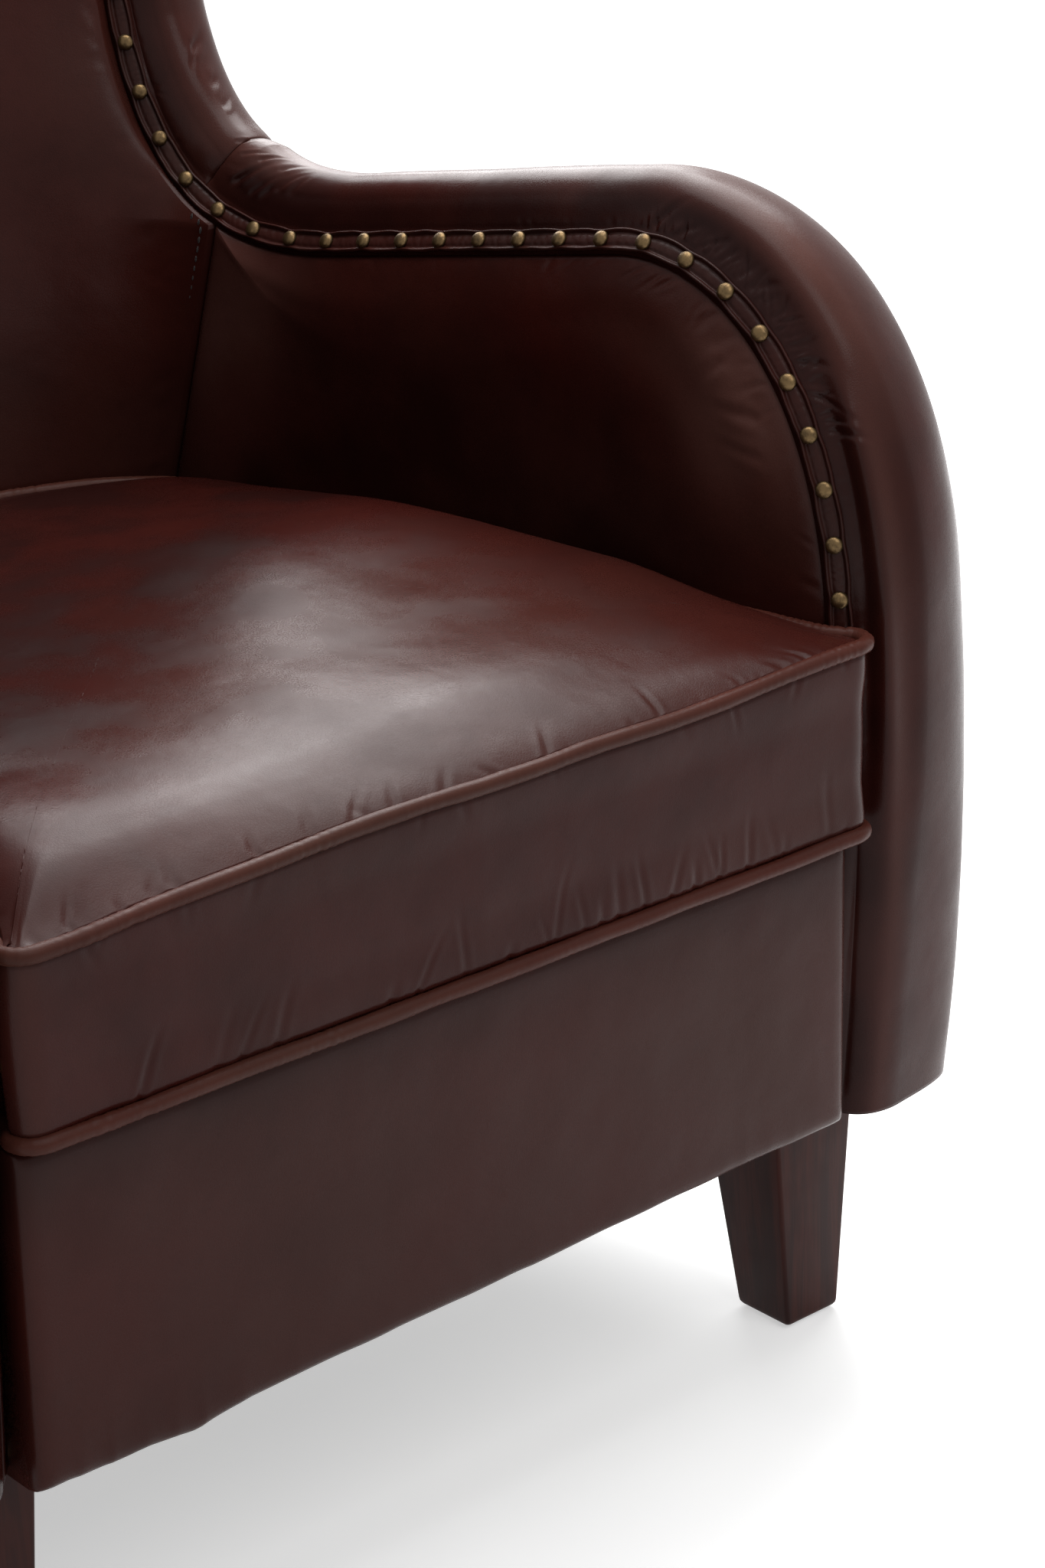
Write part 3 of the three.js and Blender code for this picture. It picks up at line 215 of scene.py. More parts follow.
class NailLine:
    """The line of the trim up the arm front, over the arm and up the wing, in a side's plane."""

    SAMPLES = 240
    SEAM_SHARE = 0.44
    BAND_SEAM_AFTER = 21.5

    def __init__(self, plan: ChairPlan) -> None:
        """Draws the line's runs.

        Args:
            plan: the chair's lengths.
        """
        foot, belly, knee = np.array([20, 142.0]), np.array([4, 330.0]), np.array([14, 458.0])
        hump, sag = np.array([173.5, 643.5]), np.array([397, 611.0])
        wing, face = np.array([571, 721.98]), np.array([584, 850.0])
        top_start, top_end = np.array([584, 922.2]), np.array([661.8, 1000.0])
        tail = np.array([float(plan.back_set(0, plan.crest_height, -6)) + 6, plan.crest_height])
        slope = (sag - hump) / np.linalg.norm(sag - hump)
        rise = np.array([math.sin(math.radians(15)), math.cos(math.radians(15))])
        knee_pull = (knee - belly) / np.linalg.norm(knee - belly)
        quarter = 77.8 * 0.5523
        runs = [
            ("front", [foot, belly, knee], 31, 31),
            ("hump", [knee, knee + 142 * knee_pull, hump - 67 * slope, hump], 31, 34),
            ("arm", [hump, sag], 34, 34),
            ("sweep", [sag, sag + 78 * slope, wing - 112 * rise, wing], 34, 23),
            ("wing", [wing, wing + 60 * rise, face - [0, 60], face], 23, 23),
            ("face", [face, top_start], 23, 23),
            ("top", [top_start, top_start + [0, quarter], top_end - [quarter, 0], top_end], 23, 23),
            ("tail", [top_end, tail], 23, 23),
        ]
        shares = np.linspace(0, 1, self.SAMPLES)
        points, crowns, self.start = [], [], {}
        length = 0.0
        for name, corners, crown_from, crown_to in runs:
            run = bezier(corners, shares)
            self.start[name] = length
            steps = lengths_along(run)
            if name == "sweep":
                self.seam = length + float(np.interp(self.SEAM_SHARE, shares, steps))
                self.band_seam = self.seam + self.BAND_SEAM_AFTER
                crown = np.interp(shares, [0, self.SEAM_SHARE, 1], [crown_from, 40, crown_to])
            else:
                crown = np.linspace(crown_from, crown_to, len(shares))
            length += steps[-1]
            points.append(run[1:] if points else run)
            crowns.append(crown[1:] if crowns else crown)
        self.points = np.concatenate(points)
        self.crowns = np.concatenate(crowns)
        self.lengths = lengths_along(self.points)
        self.end = float(self.lengths[-1])
        self.trim_start = self.length_at_height(352)
        corner = float(plan.set_at_depth(8.2, plan.crest_depth, plan.crest_height))
        self.trim_end = self.start["tail"] + corner - top_end[0]

    def length_at_height(self, height: float) -> float:
        """Length from the foot at which the front first reaches a height."""
        first = int(np.argmax(self.points[:, 1] >= height))
        return float(self.lengths[first])

    def places(self, along: Values) -> Places:
        """Places at given lengths from the foot.

        Args:
            along: the lengths.

        Returns:
            The places, each with its outward direction and crown.
        """
        along = np.asarray(along, float)
        near, at, far = (points_along(np.clip(v, 0, self.end), self.lengths, self.points)
                         for v in (along - 1.5, along, along + 1.5))
        tangent = far - near
        tangent /= np.linalg.norm(tangent, axis=-1, keepdims=True)
        out = points_of(-tangent[..., 1], tangent[..., 0])
        return Places(at, out, np.interp(along, self.lengths, self.crowns), along)

    def between(self, low: float, high: float, step: float) -> Places:
        """Places from one length to another at about one spacing."""
        return self.places(np.linspace(low, high, max(2, int(round((high - low) / step)) + 1)))

    def paced(self, low: float, high: float, coarse: float, fine: float, spans: Sequence[tuple]) -> Places:
        """Places from one length to another that stand closer within some spans.

        Args:
            low: first length.
            high: last length.
            coarse: spacing outside the spans.
            fine: spacing inside them.
            spans: first and last length of each span.

        Returns:
            The places.
        """
        marks = np.linspace(low, high, 3000)
        inside = np.zeros(len(marks))
        for first, last in spans:
            inside = np.maximum(inside, (marks > first - 10) & (marks < last + 10))
        density = 1 / coarse + (1 / fine - 1 / coarse) * inside
        count = np.concatenate([[0], np.cumsum((density[1:] + density[:-1]) / 2 * np.diff(marks))])
        return self.places(np.interp(np.linspace(0, count[-1], int(count[-1]) + 2), count, marks))


LINE = NailLine(PLAN)


def side_points(places: Places, reach: Values, rise: Values, back_inset: float = 0.0) -> Points:
    """Points of a side at places of the nail line, kept within the back's plane.

    Args:
        places: places along the line, one for each row.
        reach: distance across the side, by row and column.
        rise: distance out from the line, by row and column.
        back_inset: how far inside the outside back the points stay.

    Returns:
        The points by row and column.
    """
    setback = places.at[:, None, 0] + places.out[:, None, 0] * rise
    height = places.at[:, None, 1] + places.out[:, None, 1] * rise
    limit = PLAN.back_set(reach, height, back_inset)
    return PLAN.on_side(reach, np.minimum(setback, limit), height)


# Unevenness of hand-laid leather


class Unevenness:
    """Smooth repeatable noise for soft surfaces."""

    def __init__(self, seed: int) -> None:
        """Keeps the seed that sets this noise apart from others."""
        self.seed = seed

    def _corner(self, cell: Points) -> Values:
        """Value of one lattice corner, from -1 to 1."""
        n = (cell[..., 0] * 374761393 + cell[..., 1] * 668265263 + cell[..., 2] * 2147483647 + self.seed * 974711)
        n = (n ^ (n >> 13)) * 1274126177
        n = n ^ (n >> 16)
        return (n & 0xFFFF).astype(float) / 32767.5 - 1

    def at(self, points: Points, size: float) -> Values:
        """Noise at points.

        Args:
            points: three coordinates on the last axis.
            size: width of one swell, in the points' unit.

        Returns:
            Values from -1 to 1.
        """
        p = np.asarray(points, float) / size
        low = np.floor(p)
        f = p - low
        cell = low.astype(np.int64)
        u = f * f * f * (f * (f * 6 - 15) + 10)
        total = np.zeros(p.shape[:-1])
        for i in (0, 1):
            for j in (0, 1):
                for k in (0, 1):
                    weight = 1.0
                    for axis, step in enumerate((i, j, k)):
                        weight = weight * (u[..., axis] if step else 1 - u[..., axis])
                    total += weight * self._corner(cell + np.array([i, j, k]))
        return total

    def layered(self, points: Points, size: float, layers: int = 3) -> Values:
        """Noise with finer noise over it, from about -1 to 1."""
        parts = [self.at(points, size / 2**i) / 1.8**i for i in range(layers)]
        return sum(parts) / sum(1 / 1.8**i for i in range(layers))

    def line(self, along: Values, size: float) -> Values:
        """Noise along a line."""
        along = np.asarray(along, float)
        return self.at(points_of(along, 7.3, 1.9), size)


def ease(value: Values, low: float, high: float) -> Values:
    """Smooth step from 0 at low to 1 at high."""
    t = np.clip((np.asarray(value, float) - low) / (high - low), 0, 1)
    return t * t * (3 - 2 * t)


def hump_at(value: Values, middle: float, spread: float) -> Values:
    """Soft bump of height 1 round a middle."""
    return np.exp(-(((np.asarray(value, float) - middle) / spread) ** 2))


def rolled(edge: Values, run: float, depth: float, power: float = 2.0) -> Values:
    """How far a padded face rolls back at a distance from its edge."""
    return depth * np.maximum(0, 1 - np.sqrt(np.clip(edge / run, 0, 1))) ** power


def gathers(along: Values, pitch: float, noise: Unevenness) -> Values:
    """Rounded ridges with narrow valleys, at an uneven pitch.

    Args:
        along: length along the seam.
        pitch: mean distance between valleys.
        noise: what makes the pitch uneven.

    Returns:
        Values from -1 in a valley to about 0.4 on a ridge.
    """
    moved = along + pitch * 1.1 * noise.line(along, pitch * 3.1) + pitch * 0.4 * noise.line(along + 91, pitch * 1.3)
    return np.abs(np.sin(math.pi * moved / pitch)) ** 0.65 * 1.4 - 1


@dataclass(frozen=True)
class Creases:
    """Creases that run out from a seam, each with a place and shape of its own."""

    start: Values
    base: Values
    length: Values
    slant: Values
    depth: Values
    width: Values

    @staticmethod
    def relief(seed: int, along: Values, across: Values, runs: Sequence[tuple]) -> Values:
        """Rise of several sets of creases together.

        Args:
            seed: the first set's number; the next ones count on from it.
            along: length along the seam.
            across: distance out from it.
            runs: what scatter is told of each set.

        Returns:
            The rise, mostly below 0.
        """
        return sum(Creases.scatter(seed + i, *run).height(along, across) for i, run in enumerate(runs))

    @staticmethod
    def scatter(seed: int, low: float, high: float, pitch: float, length: tuple, depth: tuple, width: tuple,
                slant: float = 0.3, base: tuple = (-3.0, -3.0), lean: float = 0.0) -> "Creases":
        """Lays creases along a seam at an uneven pitch.

        Args:
            seed: number that sets this set apart from others.
            low: where along the seam they begin.
            high: where they end.
            pitch: mean distance between two.
            length: shortest and longest.
            depth: shallowest and deepest.
            width: narrowest and widest.
            slant: spread of their slant off square to the seam.
            base: nearest and farthest start out from the seam.
            lean: mean slant.

        Returns:
            The creases.
        """
        dice = np.random.default_rng(seed)
        count = max(1, int((high - low) / pitch))
        start = low + (np.arange(count) + dice.uniform(-0.2, 1.2, count)) * (high - low) / count
        base, length, depth, width = (dice.uniform(*span, count) for span in (base, length, depth, width))
        return Creases(start, base, length, dice.normal(lean, slant, count), depth, width)

    def height(self, along: Values, across: Values) -> Values:
        """Rise of the leather over its plain surface: a narrow valley between two soft lips.

        Args:
            along: length along the seam.
            across: distance out from it.

        Returns:
            The rise, mostly below 0.
        """
        along, across = np.broadcast_arrays(along, across)
        total = np.zeros(along.shape)
        creases = zip(self.start, self.base, self.length, self.slant, self.depth, self.width)
        for start, base, length, slant, depth, width in creases:
            near = np.nonzero(np.abs(along - start) < 5 * width + 1.6 * abs(slant) * length)
            out = across[near] - base
            gap = np.abs(along[near] - start - slant * out * (1 + 0.6 * out / length)) / width
            fade = ease(out, 0, 0.15 * length) * (1 - ease(out, 0.4 * length, length))
            total[near] -= depth * fade * (np.exp(-gap**2) - 0.45 * np.exp(-(((gap - 2.0) / 1.1) ** 2)))
        return total


# Mesh making


def corner_array(mesh: bpy.types.Mesh) -> Points:
    """Points of a mesh as an array."""
    values = np.empty(len(mesh.vertices) * 3)
    mesh.vertices.foreach_get("co", values)
    return values.reshape(-1, 3)


class Maker:
    """Turns rows of points into meshes in the scene's frame."""

    def __init__(self, depth_shift: float) -> None:
        """Keeps the depth of the front border's face in the scene's frame, in millimetres."""
        self.depth_shift = depth_shift

    def place(self, points: Points, mirror: int = 1) -> Points:
        """Points of the plan in metres in the scene's frame."""
        return (np.asarray(points, float) * [mirror, 1, 1] + [0, self.depth_shift, 0]) * MM

    def mesh(self, name: str, points: Points, faces: Sequence[Sequence[int]], mirror: int = 1) -> Piece:
        """Makes one object from points and faces.

        Args:
            name: the piece's name.
            points: its points in the plan's frame.
            faces: lists of point numbers.
            mirror: -1 for the left side.

        Returns:
            The object, smooth and linked to the scene, with its faces looking out.
        """
        data = bpy.data.meshes.new(name)
        data.from_pydata(self.place(points, mirror).reshape(-1, 3).tolist(), [], faces)
        work = bmesh.new()
        work.from_mesh(data)
        bmesh.ops.recalc_face_normals(work, faces=work.faces)
        work.to_mesh(data)
        work.free()
        data.polygons.foreach_set("use_smooth", [True] * len(data.polygons))
        data.update()
        obj = bpy.data.objects.new(name, data)
        bpy.context.scene.collection.objects.link(obj)
        return obj

    def skin(self, name: str, grid: Points, mirror: int = 1, loop: bool = False) -> Piece:
        """Makes a closed skin from rows of points that each close on themselves.

        Args:
            name: the piece's name.
            grid: points by row and column in the plan's frame.
            mirror: -1 for the left side.
            loop: whether the last row meets the first; otherwise both are filled.

        Returns:
            The object.
        """
        rows, cols = grid.shape[:2]
        index = np.arange(rows * cols).reshape(rows, cols)
        after = np.roll(index, -1, axis=0)
        corners = [index, np.roll(index, -1, axis=1), np.roll(after, -1, axis=1), after]
        quads = np.stack(corners, axis=-1)
        if loop:
            return self.mesh(name, grid, quads.reshape(-1, 4).tolist(), mirror)
        lids = [index[0].tolist(), index[-1][::-1].tolist()]
        return self.mesh(name, grid, quads[:-1].reshape(-1, 4).tolist() + lids, mirror)

    def swollen(self, grid: Points, reach: float, stride: int = 8) -> Points:
        """Swells a closed skin like cloth over its stuffing, under pressure and without weight.

        Args:
            grid: the plain skin's points by ring in the plan's frame.
            reach: the most that a point may move, in millimetres.
            stride: how many points of a ring share one reading.
        """
        obj = self.skin("swelling", grid[:, ::4])
        cells = obj.modifiers.new("cells", "REMESH")
        cells.mode, cells.voxel_size = "VOXEL", 0.008
        obj.data = bpy.data.meshes.new_from_object(obj.evaluated_get(bpy.context.evaluated_depsgraph_get()))
        obj.modifiers.clear()
        start = corner_array(obj.data)
        cloth = obj.modifiers.new("cloth", "CLOTH")
        cloth.settings.use_pressure = True
        cloth.settings.uniform_pressure_force = 4.0
        cloth.settings.effector_weights.gravity = 0.0
        for frame in range(1, 21):
            bpy.context.scene.frame_set(frame)
        end = corner_array(obj.evaluated_get(bpy.context.evaluated_depsgraph_get()).data)
        bpy.data.objects.remove(obj)
        bpy.context.scene.frame_set(1)
        moved = (end - start) / MM
        moved *= np.minimum(1, reach / np.maximum(np.linalg.norm(moved, axis=1), 1e-6))[:, None]
        tree = KDTree(len(start))
        for i, point in enumerate(start):
            tree.insert(point, i)
        tree.balance()
        read = grid[:, ::stride]
        nearest = [[i for _, i, _ in tree.find_n(point, 12)] for point in self.place(read).reshape(-1, 3)]
        found = moved[np.array(nearest)].mean(axis=1).reshape(read.shape)
        found = np.concatenate([found, found[:, :1]], axis=1)
        marks = np.append(np.arange(0, grid.shape[1], stride), grid.shape[1])
        places = np.arange(grid.shape[1])
        return np.stack([[np.interp(places, marks, row[:, axis]) for row in found] for axis in range(3)], axis=-1)

    def tubes(self, name: str, stacks: Points, mirror: int = 1) -> Piece:
        """Makes one object of closed tubes, from points by tube, ring and place round it."""
        faces = []
        for tube in np.arange(stacks[..., 0].size).reshape(stacks.shape[:3]):
            after = np.roll(tube, -1, axis=1)
            faces += np.stack([tube[:-1], after[:-1], after[1:], tube[1:]], axis=-1).reshape(-1, 4).tolist()
            faces += [tube[0, ::-1].tolist(), tube[-1].tolist()]
        return self.mesh(name, stacks, faces, mirror)

    def beads(self, name: str, profile: Points, seats: Points, looks: Points, mirror: int = 1,
              sides: int = 20) -> Piece:
        """Makes turned pieces of one profile at many seats as one object.

        Args:
            name: the piece's name.
            profile: radius and height of the turned shape, from its rim to its tip.
            seats: a point for each.
            looks: the direction each looks in.
            mirror: -1 for the left side.
            sides: points round each.

        Returns:
            The object.
        """
        angles = np.linspace(0, 2 * math.pi, sides, endpoint=False)[:, None]
        stacks = []
        for seat, look in zip(seats, looks):
            look = look / np.linalg.norm(look)
            side = np.cross(look, [0.31, 0.2, 0.93])
            side /= np.linalg.norm(side)
            ring = np.cos(angles) * side + np.sin(angles) * np.cross(look, side)
            stacks.append(seat + profile[:, None, :1] * ring + profile[:, None, 1:] * look)
        return self.tubes(name, np.array(stacks), mirror)


def light_and_tone_masks(obj: Piece, rubbed: Values = 0.0, reddened: Values = 0.0, darkened: Values = 0.0) -> None:
    """Stores painted highlight, reddening and painted shade for each point of a leather piece.

    Args:
        obj: the piece.
        rubbed: painted highlight, how far the point is painted paler, from 0 to 1, in the order of its points.
        reddened: how far the colour turns redder.
        darkened: painted shade, how far the point is painted darker.
    """
    count = len(obj.data.vertices)
    for name, values in zip(LIGHT_AND_TONE_MASKS, (rubbed, reddened, darkened)):
        layer = obj.data.attributes.new(name.lower(), "FLOAT", "POINT")
        values = np.ravel(values) if np.ndim(values) else np.full(count, values)
        layer.data.foreach_set("value", np.clip(values, 0, 1).astype(np.float32))


# Finishes


class Bench:
    """Lays and joins the nodes of one node tree."""

    def __init__(self, tree: Tree) -> None:
        """Keeps the tree that the nodes go in."""
        self.tree = tree

    def feed(self, node: Node, feeds: dict) -> None:
        """Sets or links a node's inputs, by name or number."""
        for key, value in feeds.items():
            if isinstance(value, Socket):
                self.tree.links.new(value, node.inputs[key])
            else:
                node.inputs[key].default_value = value

    def lay(self, kind: str, feeds: dict | None = None, **settings: object) -> Node:
        """Adds one node.

        Args:
            kind: the node's type name without its common prefix.
            feeds: values or sockets for its inputs, by name or number.
            settings: its own settings.

        Returns:
            The node.
        """
        node = self.tree.nodes.new("ShaderNode" + kind)
        for name, value in settings.items():
            setattr(node, name, value)
        self.feed(node, feeds or {})
        return node

    def sum(self, kind: str, first: object, second: object = 0.0, clamp: bool = False) -> Socket:
        """Result of one Math node."""
        return self.lay("Math", {0: first, 1: second}, operation=kind, use_clamp=clamp).outputs[0]

    def blend(self, share: object, first: object, second: object) -> Socket:
        """Colour that goes from first to second by a share."""
        return self.lay("Mix", {0: share, 6: first, 7: second}, data_type="RGBA").outputs[2]

    def span(self, value: object, low: float, high: float, new_low: float = 0.0, new_high: float = 1.0) -> Socket:
        """A value's span smoothly moved to a new span."""
        feeds = {0: value, 1: low, 2: high, 3: new_low, 4: new_high}
        return self.lay("MapRange", feeds, interpolation_type="SMOOTHSTEP").outputs[0]

    def noise(self, place: object, scale: float, detail: float, rough: float = 0.5, twist: float = 0.0) -> Socket:
        """Value of a Noise Texture."""
        feeds = {"Vector": place, "Scale": scale, "Detail": detail, "Roughness": rough, "Distortion": twist}
        return self.lay("TexNoise", feeds).outputs[0]

    def stretched(self, place: object, scale: Sequence[float]) -> Socket:
        """A place scaled along its axes."""
        return self.lay("Mapping", {"Vector": place, "Scale": scale}).outputs[0]

    def bump(self, height: Socket, distance: float, strength: float = 1.0, under: Socket | None = None) -> Socket:
        """Normal bent by a height, over another bump where one is given."""
        feeds = {"Height": height, "Distance": distance, "Strength": strength}
        return self.lay("Bump", feeds | ({} if under is None else {"Normal": under})).outputs[0]


class Effect(Enum):
    """Effects that several finishes share, each one node group."""

    HIDE_TONES = "hide tones"
    HIDE_GRAIN = "hide grain"
    SOFT_CREASES = "soft creases"
    WOOD_FIGURE = "wood figure"
    CLOTH_WEAVE = "cloth weave"
    DUST = "dust"


def new_group(effect: Effect, inputs: dict, outputs: dict) -> tuple:
    """Starts a node group.

    Args:
        effect: the effect that it makes.
        inputs: names of the inputs of each kind.
        outputs: names of the outputs of each kind.

    Returns:
        The group's bench, the sockets of its inputs by name, and its output node.
    """
    tree = bpy.data.node_groups.new(effect.value, "ShaderNodeTree")
    for way, kinds in (("INPUT", inputs), ("OUTPUT", outputs)):
        for kind, names in kinds.items():
            for name in names.split():
                tree.interface.new_socket(name, in_out=way, socket_type="NodeSocket" + kind)
    return Bench(tree), tree.nodes.new("NodeGroupInput").outputs, tree.nodes.new("NodeGroupOutput")


class EffectShelf:
    """Builds each shared effect once and hands it out."""

    def __init__(self) -> None:
        """Starts with no group built."""
        self._made: dict[Effect, Tree] = {}
        self._makers: dict[Effect, Callable[[], Tree]] = {
            Effect.HIDE_TONES: self._hide_tones,
            Effect.HIDE_GRAIN: self._hide_grain,
            Effect.SOFT_CREASES: self._soft_creases,
            Effect.WOOD_FIGURE: self._wood_figure,
            Effect.CLOTH_WEAVE: self._cloth_weave,
            Effect.DUST: self._dust,
        }

    def use(self, bench: Bench, effect: Effect, **feeds: object) -> Node:
        """Places an effect in a material.

        Args:
            bench: the material's bench.
            effect: the effect wanted.
            feeds: values or sockets for all its inputs.

        Returns:
            The group node.
        """
        if effect not in self._made:
            self._made[effect] = self._makers[effect]()
        return bench.lay("Group", feeds, node_tree=self._made[effect])

    def _hide_tones(self) -> Tree:
        """Antiqued leather: brown, warmer red patches and dark clouds, with stored masks that paint highlights paler
        and paint shade darker.
        """
        bench, into, out = new_group(
            Effect.HIDE_TONES,
            {"Vector": "Place", "Color": "Body Warm Dark Worn", "Float": "Warmth Darkness Rubbed Reddened Darkened"},
            {"Color": "Color", "Float": "Mottle"},
        )
        broad = bench.noise(into["Place"], 5.5, 2.0)
        clouds = bench.noise(into["Place"], 15.0, 3.0)
        fine = bench.noise(into["Place"], 95.0, 5.0, 0.62)
        warm = bench.sum("MULTIPLY", bench.span(broad, 0.28, 0.74), into["Warmth"], True)
        warm = bench.sum("ADD", warm, into["Reddened"], True)
        dark = bench.sum("MULTIPLY", bench.span(clouds, 0.34, 0.82), into["Darkness"], True)
        speck = bench.sum("MULTIPLY", bench.span(fine, 0.45, 0.80, 0.0, 0.35), into["Darkness"], True)
        uneven = bench.span(clouds, 0.25, 0.75, 0.6, 1.25)
        # Painted highlight and painted shade, from the masks stored on each piece.
        rubbed = bench.sum("MULTIPLY", into["Rubbed"], uneven, True)
        darkened = bench.sum("MULTIPLY", into["Darkened"], uneven, True)
        colour = into["Body"]
        for share, name in ((warm, "Warm"), (dark, "Dark"), (speck, "Dark"), (rubbed, "Worn"), (darkened, "Dark")):
            colour = bench.blend(share, colour, into[name])
        bench.feed(out, {"Color": colour, "Mottle": clouds})
        return bench.tree

    def _hide_grain(self) -> Tree:
        """Fine pebbled grain of a finished hide."""
        bench, into, out = new_group(
            Effect.HIDE_GRAIN, {"Vector": "Place", "Float": "Size"}, {"Float": "Height Pores"},
        )
        feeds = {"Vector": into["Place"], "Scale": into["Size"], "Randomness": 1.0}
        cells = bench.lay("TexVoronoi", feeds, feature="DISTANCE_TO_EDGE").outputs[0]
        valleys = bench.span(cells, 0.0, 0.16)
        soft = bench.noise(into["Place"], 160.0, 3.0)
        fine = bench.noise(into["Place"], 900.0, 2.0)
        height = bench.sum("ADD", bench.sum("MULTIPLY", valleys, 0.55), bench.sum("MULTIPLY", soft, 0.6))
        height = bench.sum("ADD", height, bench.sum("MULTIPLY", fine, 0.22))
        bench.feed(out, {"Height": height, "Pores": bench.sum("SUBTRACT", 1.0, valleys)})
        return bench.tree

    def _soft_creases(self) -> Tree:
        """Long shallow wrinkles of leather laid over padding."""
        bench, into, out = new_group(
            Effect.SOFT_CREASES, {"Vector": "Place", "Float": "Size"}, {"Float": "Height"},
        )
        swell = bench.noise(into["Place"], into["Size"], 2.0, 0.4)
        drift = bench.noise(into["Place"], 45.0, 3.0, 0.5, 0.3)
        bench.feed(out, {"Height": bench.sum("ADD", swell, bench.sum("MULTIPLY", drift, 0.25))})
        return bench.tree

    def _wood_figure(self) -> Tree:
        """Streaked figure of straight-grained wood, running up."""
        bench, into, out = new_group(
            Effect.WOOD_FIGURE, {"Vector": "Place", "Color": "Light Dark"}, {"Color": "Color", "Float": "Height"},
        )
        long = bench.stretched(into["Place"], (1.0, 1.0, 0.06))
        streak = bench.noise(long, 150.0, 4.0, 0.62, 0.6)
        band = bench.noise(long, 38.0, 2.0, 0.5, 1.2)
        pore = bench.noise(bench.stretched(into["Place"], (1.0, 1.0, 0.02)), 900.0, 2.0)
        mix = bench.sum("ADD", bench.sum("MULTIPLY", streak, 0.6), bench.sum("MULTIPLY", band, 0.4))
        height = bench.sum("ADD", streak, bench.sum("MULTIPLY", pore, 0.5))
        colour = bench.blend(bench.span(mix, 0.36, 0.62), into["Light"], into["Dark"])
        bench.feed(out, {"Color": colour, "Height": height})
        return bench.tree

    def _cloth_weave(self) -> Tree:
        """Plain weave that needs no flat map: crossed threads along the three axes."""
        bench, into, out = new_group(
            Effect.CLOTH_WEAVE, {"Vector": "Place", "Float": "Threads"}, {"Float": "Height Shade"},
        )
        scaled = bench.lay("VectorMath", {0: into["Place"], 3: into["Threads"]}, operation="SCALE").outputs[0]
        parts = bench.lay("SeparateXYZ", {0: scaled}).outputs
        waves = [bench.sum("SINE", bench.sum("MULTIPLY", part, 3.1416)) for part in parts]
        cross = bench.sum("MULTIPLY", waves[0], waves[1])
        cross = bench.sum("ADD", cross, bench.sum("MULTIPLY", waves[1], waves[2]))
        cross = bench.sum("ADD", cross, bench.sum("MULTIPLY", waves[2], waves[0]))
        slub = bench.noise(into["Place"], 260.0, 3.0, 0.6)
        bench.feed(out, {"Height": bench.sum("ADD", bench.sum("MULTIPLY", cross, 0.4), slub), "Shade": slub})
        return bench.tree

    def _dust(self) -> Tree:
        """Patchy film of handling and dust, as a mask."""
        bench, into, out = new_group(Effect.DUST, {"Vector": "Place", "Float": "Amount"}, {"Float": "Mask"})
        patch = bench.span(bench.noise(into["Place"], 30.0, 5.0, 0.65, 0.3), 0.4, 0.75)
        bench.feed(out, {"Mask": bench.sum("MULTIPLY", patch, into["Amount"], True)})
        return bench.tree


SHELF = EffectShelf()
# Masks stored on leather pieces: painted highlight, reddening and painted shade.
LIGHT_AND_TONE_MASKS = ("Rubbed", "Reddened", "Darkened")


def start_material(name: str) -> tuple:
    """Starts a material.

    Args:
        name: the material's name.

    Returns:
        The material, its bench, its Principled shader and the object's own coordinates.
    """
    material = bpy.data.materials.new(name)
    material.use_nodes = True
    bench = Bench(material.node_tree)
    shader = next(n for n in bench.tree.nodes if n.type == "BSDF_PRINCIPLED")
    return material, bench, shader, bench.lay("TexCoord").outputs["Object"]


@dataclass(frozen=True)
class LeatherFinish:
    """Glossy antiqued leather."""

    name: str
    body: tuple = (0.043, 0.0128, 0.0094, 1)
    warm: tuple = (0.050, 0.0085, 0.0062, 1)
    dark: tuple = (0.013, 0.0026, 0.0020, 1)
    # Paler colour that the painted highlights blend toward.
    worn: tuple = (0.085, 0.0340, 0.0270, 1)
    warmth: float = 0.75
    darkness: float = 0.5
    rough: float = 0.25
    shine: float = 0.10
    grain: float = 0.000035
    crease: float = 0.0009

    def material(self) -> Material:
        """Builds the material."""
        material, bench, shader, place = start_material(self.name)
        # Stored masks of painted highlight, reddening and painted shade.
        light_and_tone_masks = {name: bench.lay("Attribute", attribute_name=name.lower()).outputs["Fac"] for name in LIGHT_AND_TONE_MASKS}
        tones = SHELF.use(bench, Effect.HIDE_TONES, Place=place, Body=self.body, Warm=self.warm, Dark=self.dark,
                          Worn=self.worn, Warmth=self.warmth, Darkness=self.darkness, **light_and_tone_masks).outputs
        grain = SHELF.use(bench, Effect.HIDE_GRAIN, Place=place, Size=640.0).outputs
        creases = SHELF.use(bench, Effect.SOFT_CREASES, Place=place, Size=22.0).outputs
        rough = bench.span(tones["Mottle"], 0.3, 0.75, self.rough - 0.05, self.rough + 0.09)
        bench.feed(shader, {
            "Base Color": bench.blend(bench.sum("MULTIPLY", grain["Pores"], 0.12), tones["Color"], self.dark),
            "Roughness": bench.sum("ADD", rough, bench.sum("MULTIPLY", grain["Pores"], 0.06)),
            "Specular IOR Level": self.shine,
            "Normal": bench.bump(grain["Height"], self.grain, under=bench.bump(creases["Height"], self.crease)),
        })
        return material


@dataclass(frozen=True)
class BrassFinish:
    """Antique brass nail heads, dulled in patches."""

    name: str = "antique_brass"
    bright: tuple = (0.125, 0.080, 0.036, 1)
    dull: tuple = (0.030, 0.019, 0.010, 1)

    def material(self) -> Material:
        """Builds the material."""
        material, bench, shader, place = start_material(self.name)
        film = SHELF.use(bench, Effect.DUST, Place=bench.stretched(place, (9, 9, 9)), Amount=0.8).outputs["Mask"]
        bench.feed(shader, {
            "Base Color": bench.blend(film, self.bright, self.dull),
            "Roughness": bench.span(film, 0.0, 0.8, 0.34, 0.52),
            "Metallic": 0.9,
            "Normal": bench.bump(bench.noise(place, 700.0, 2.0), 0.00012, 0.7),
        })
        return material


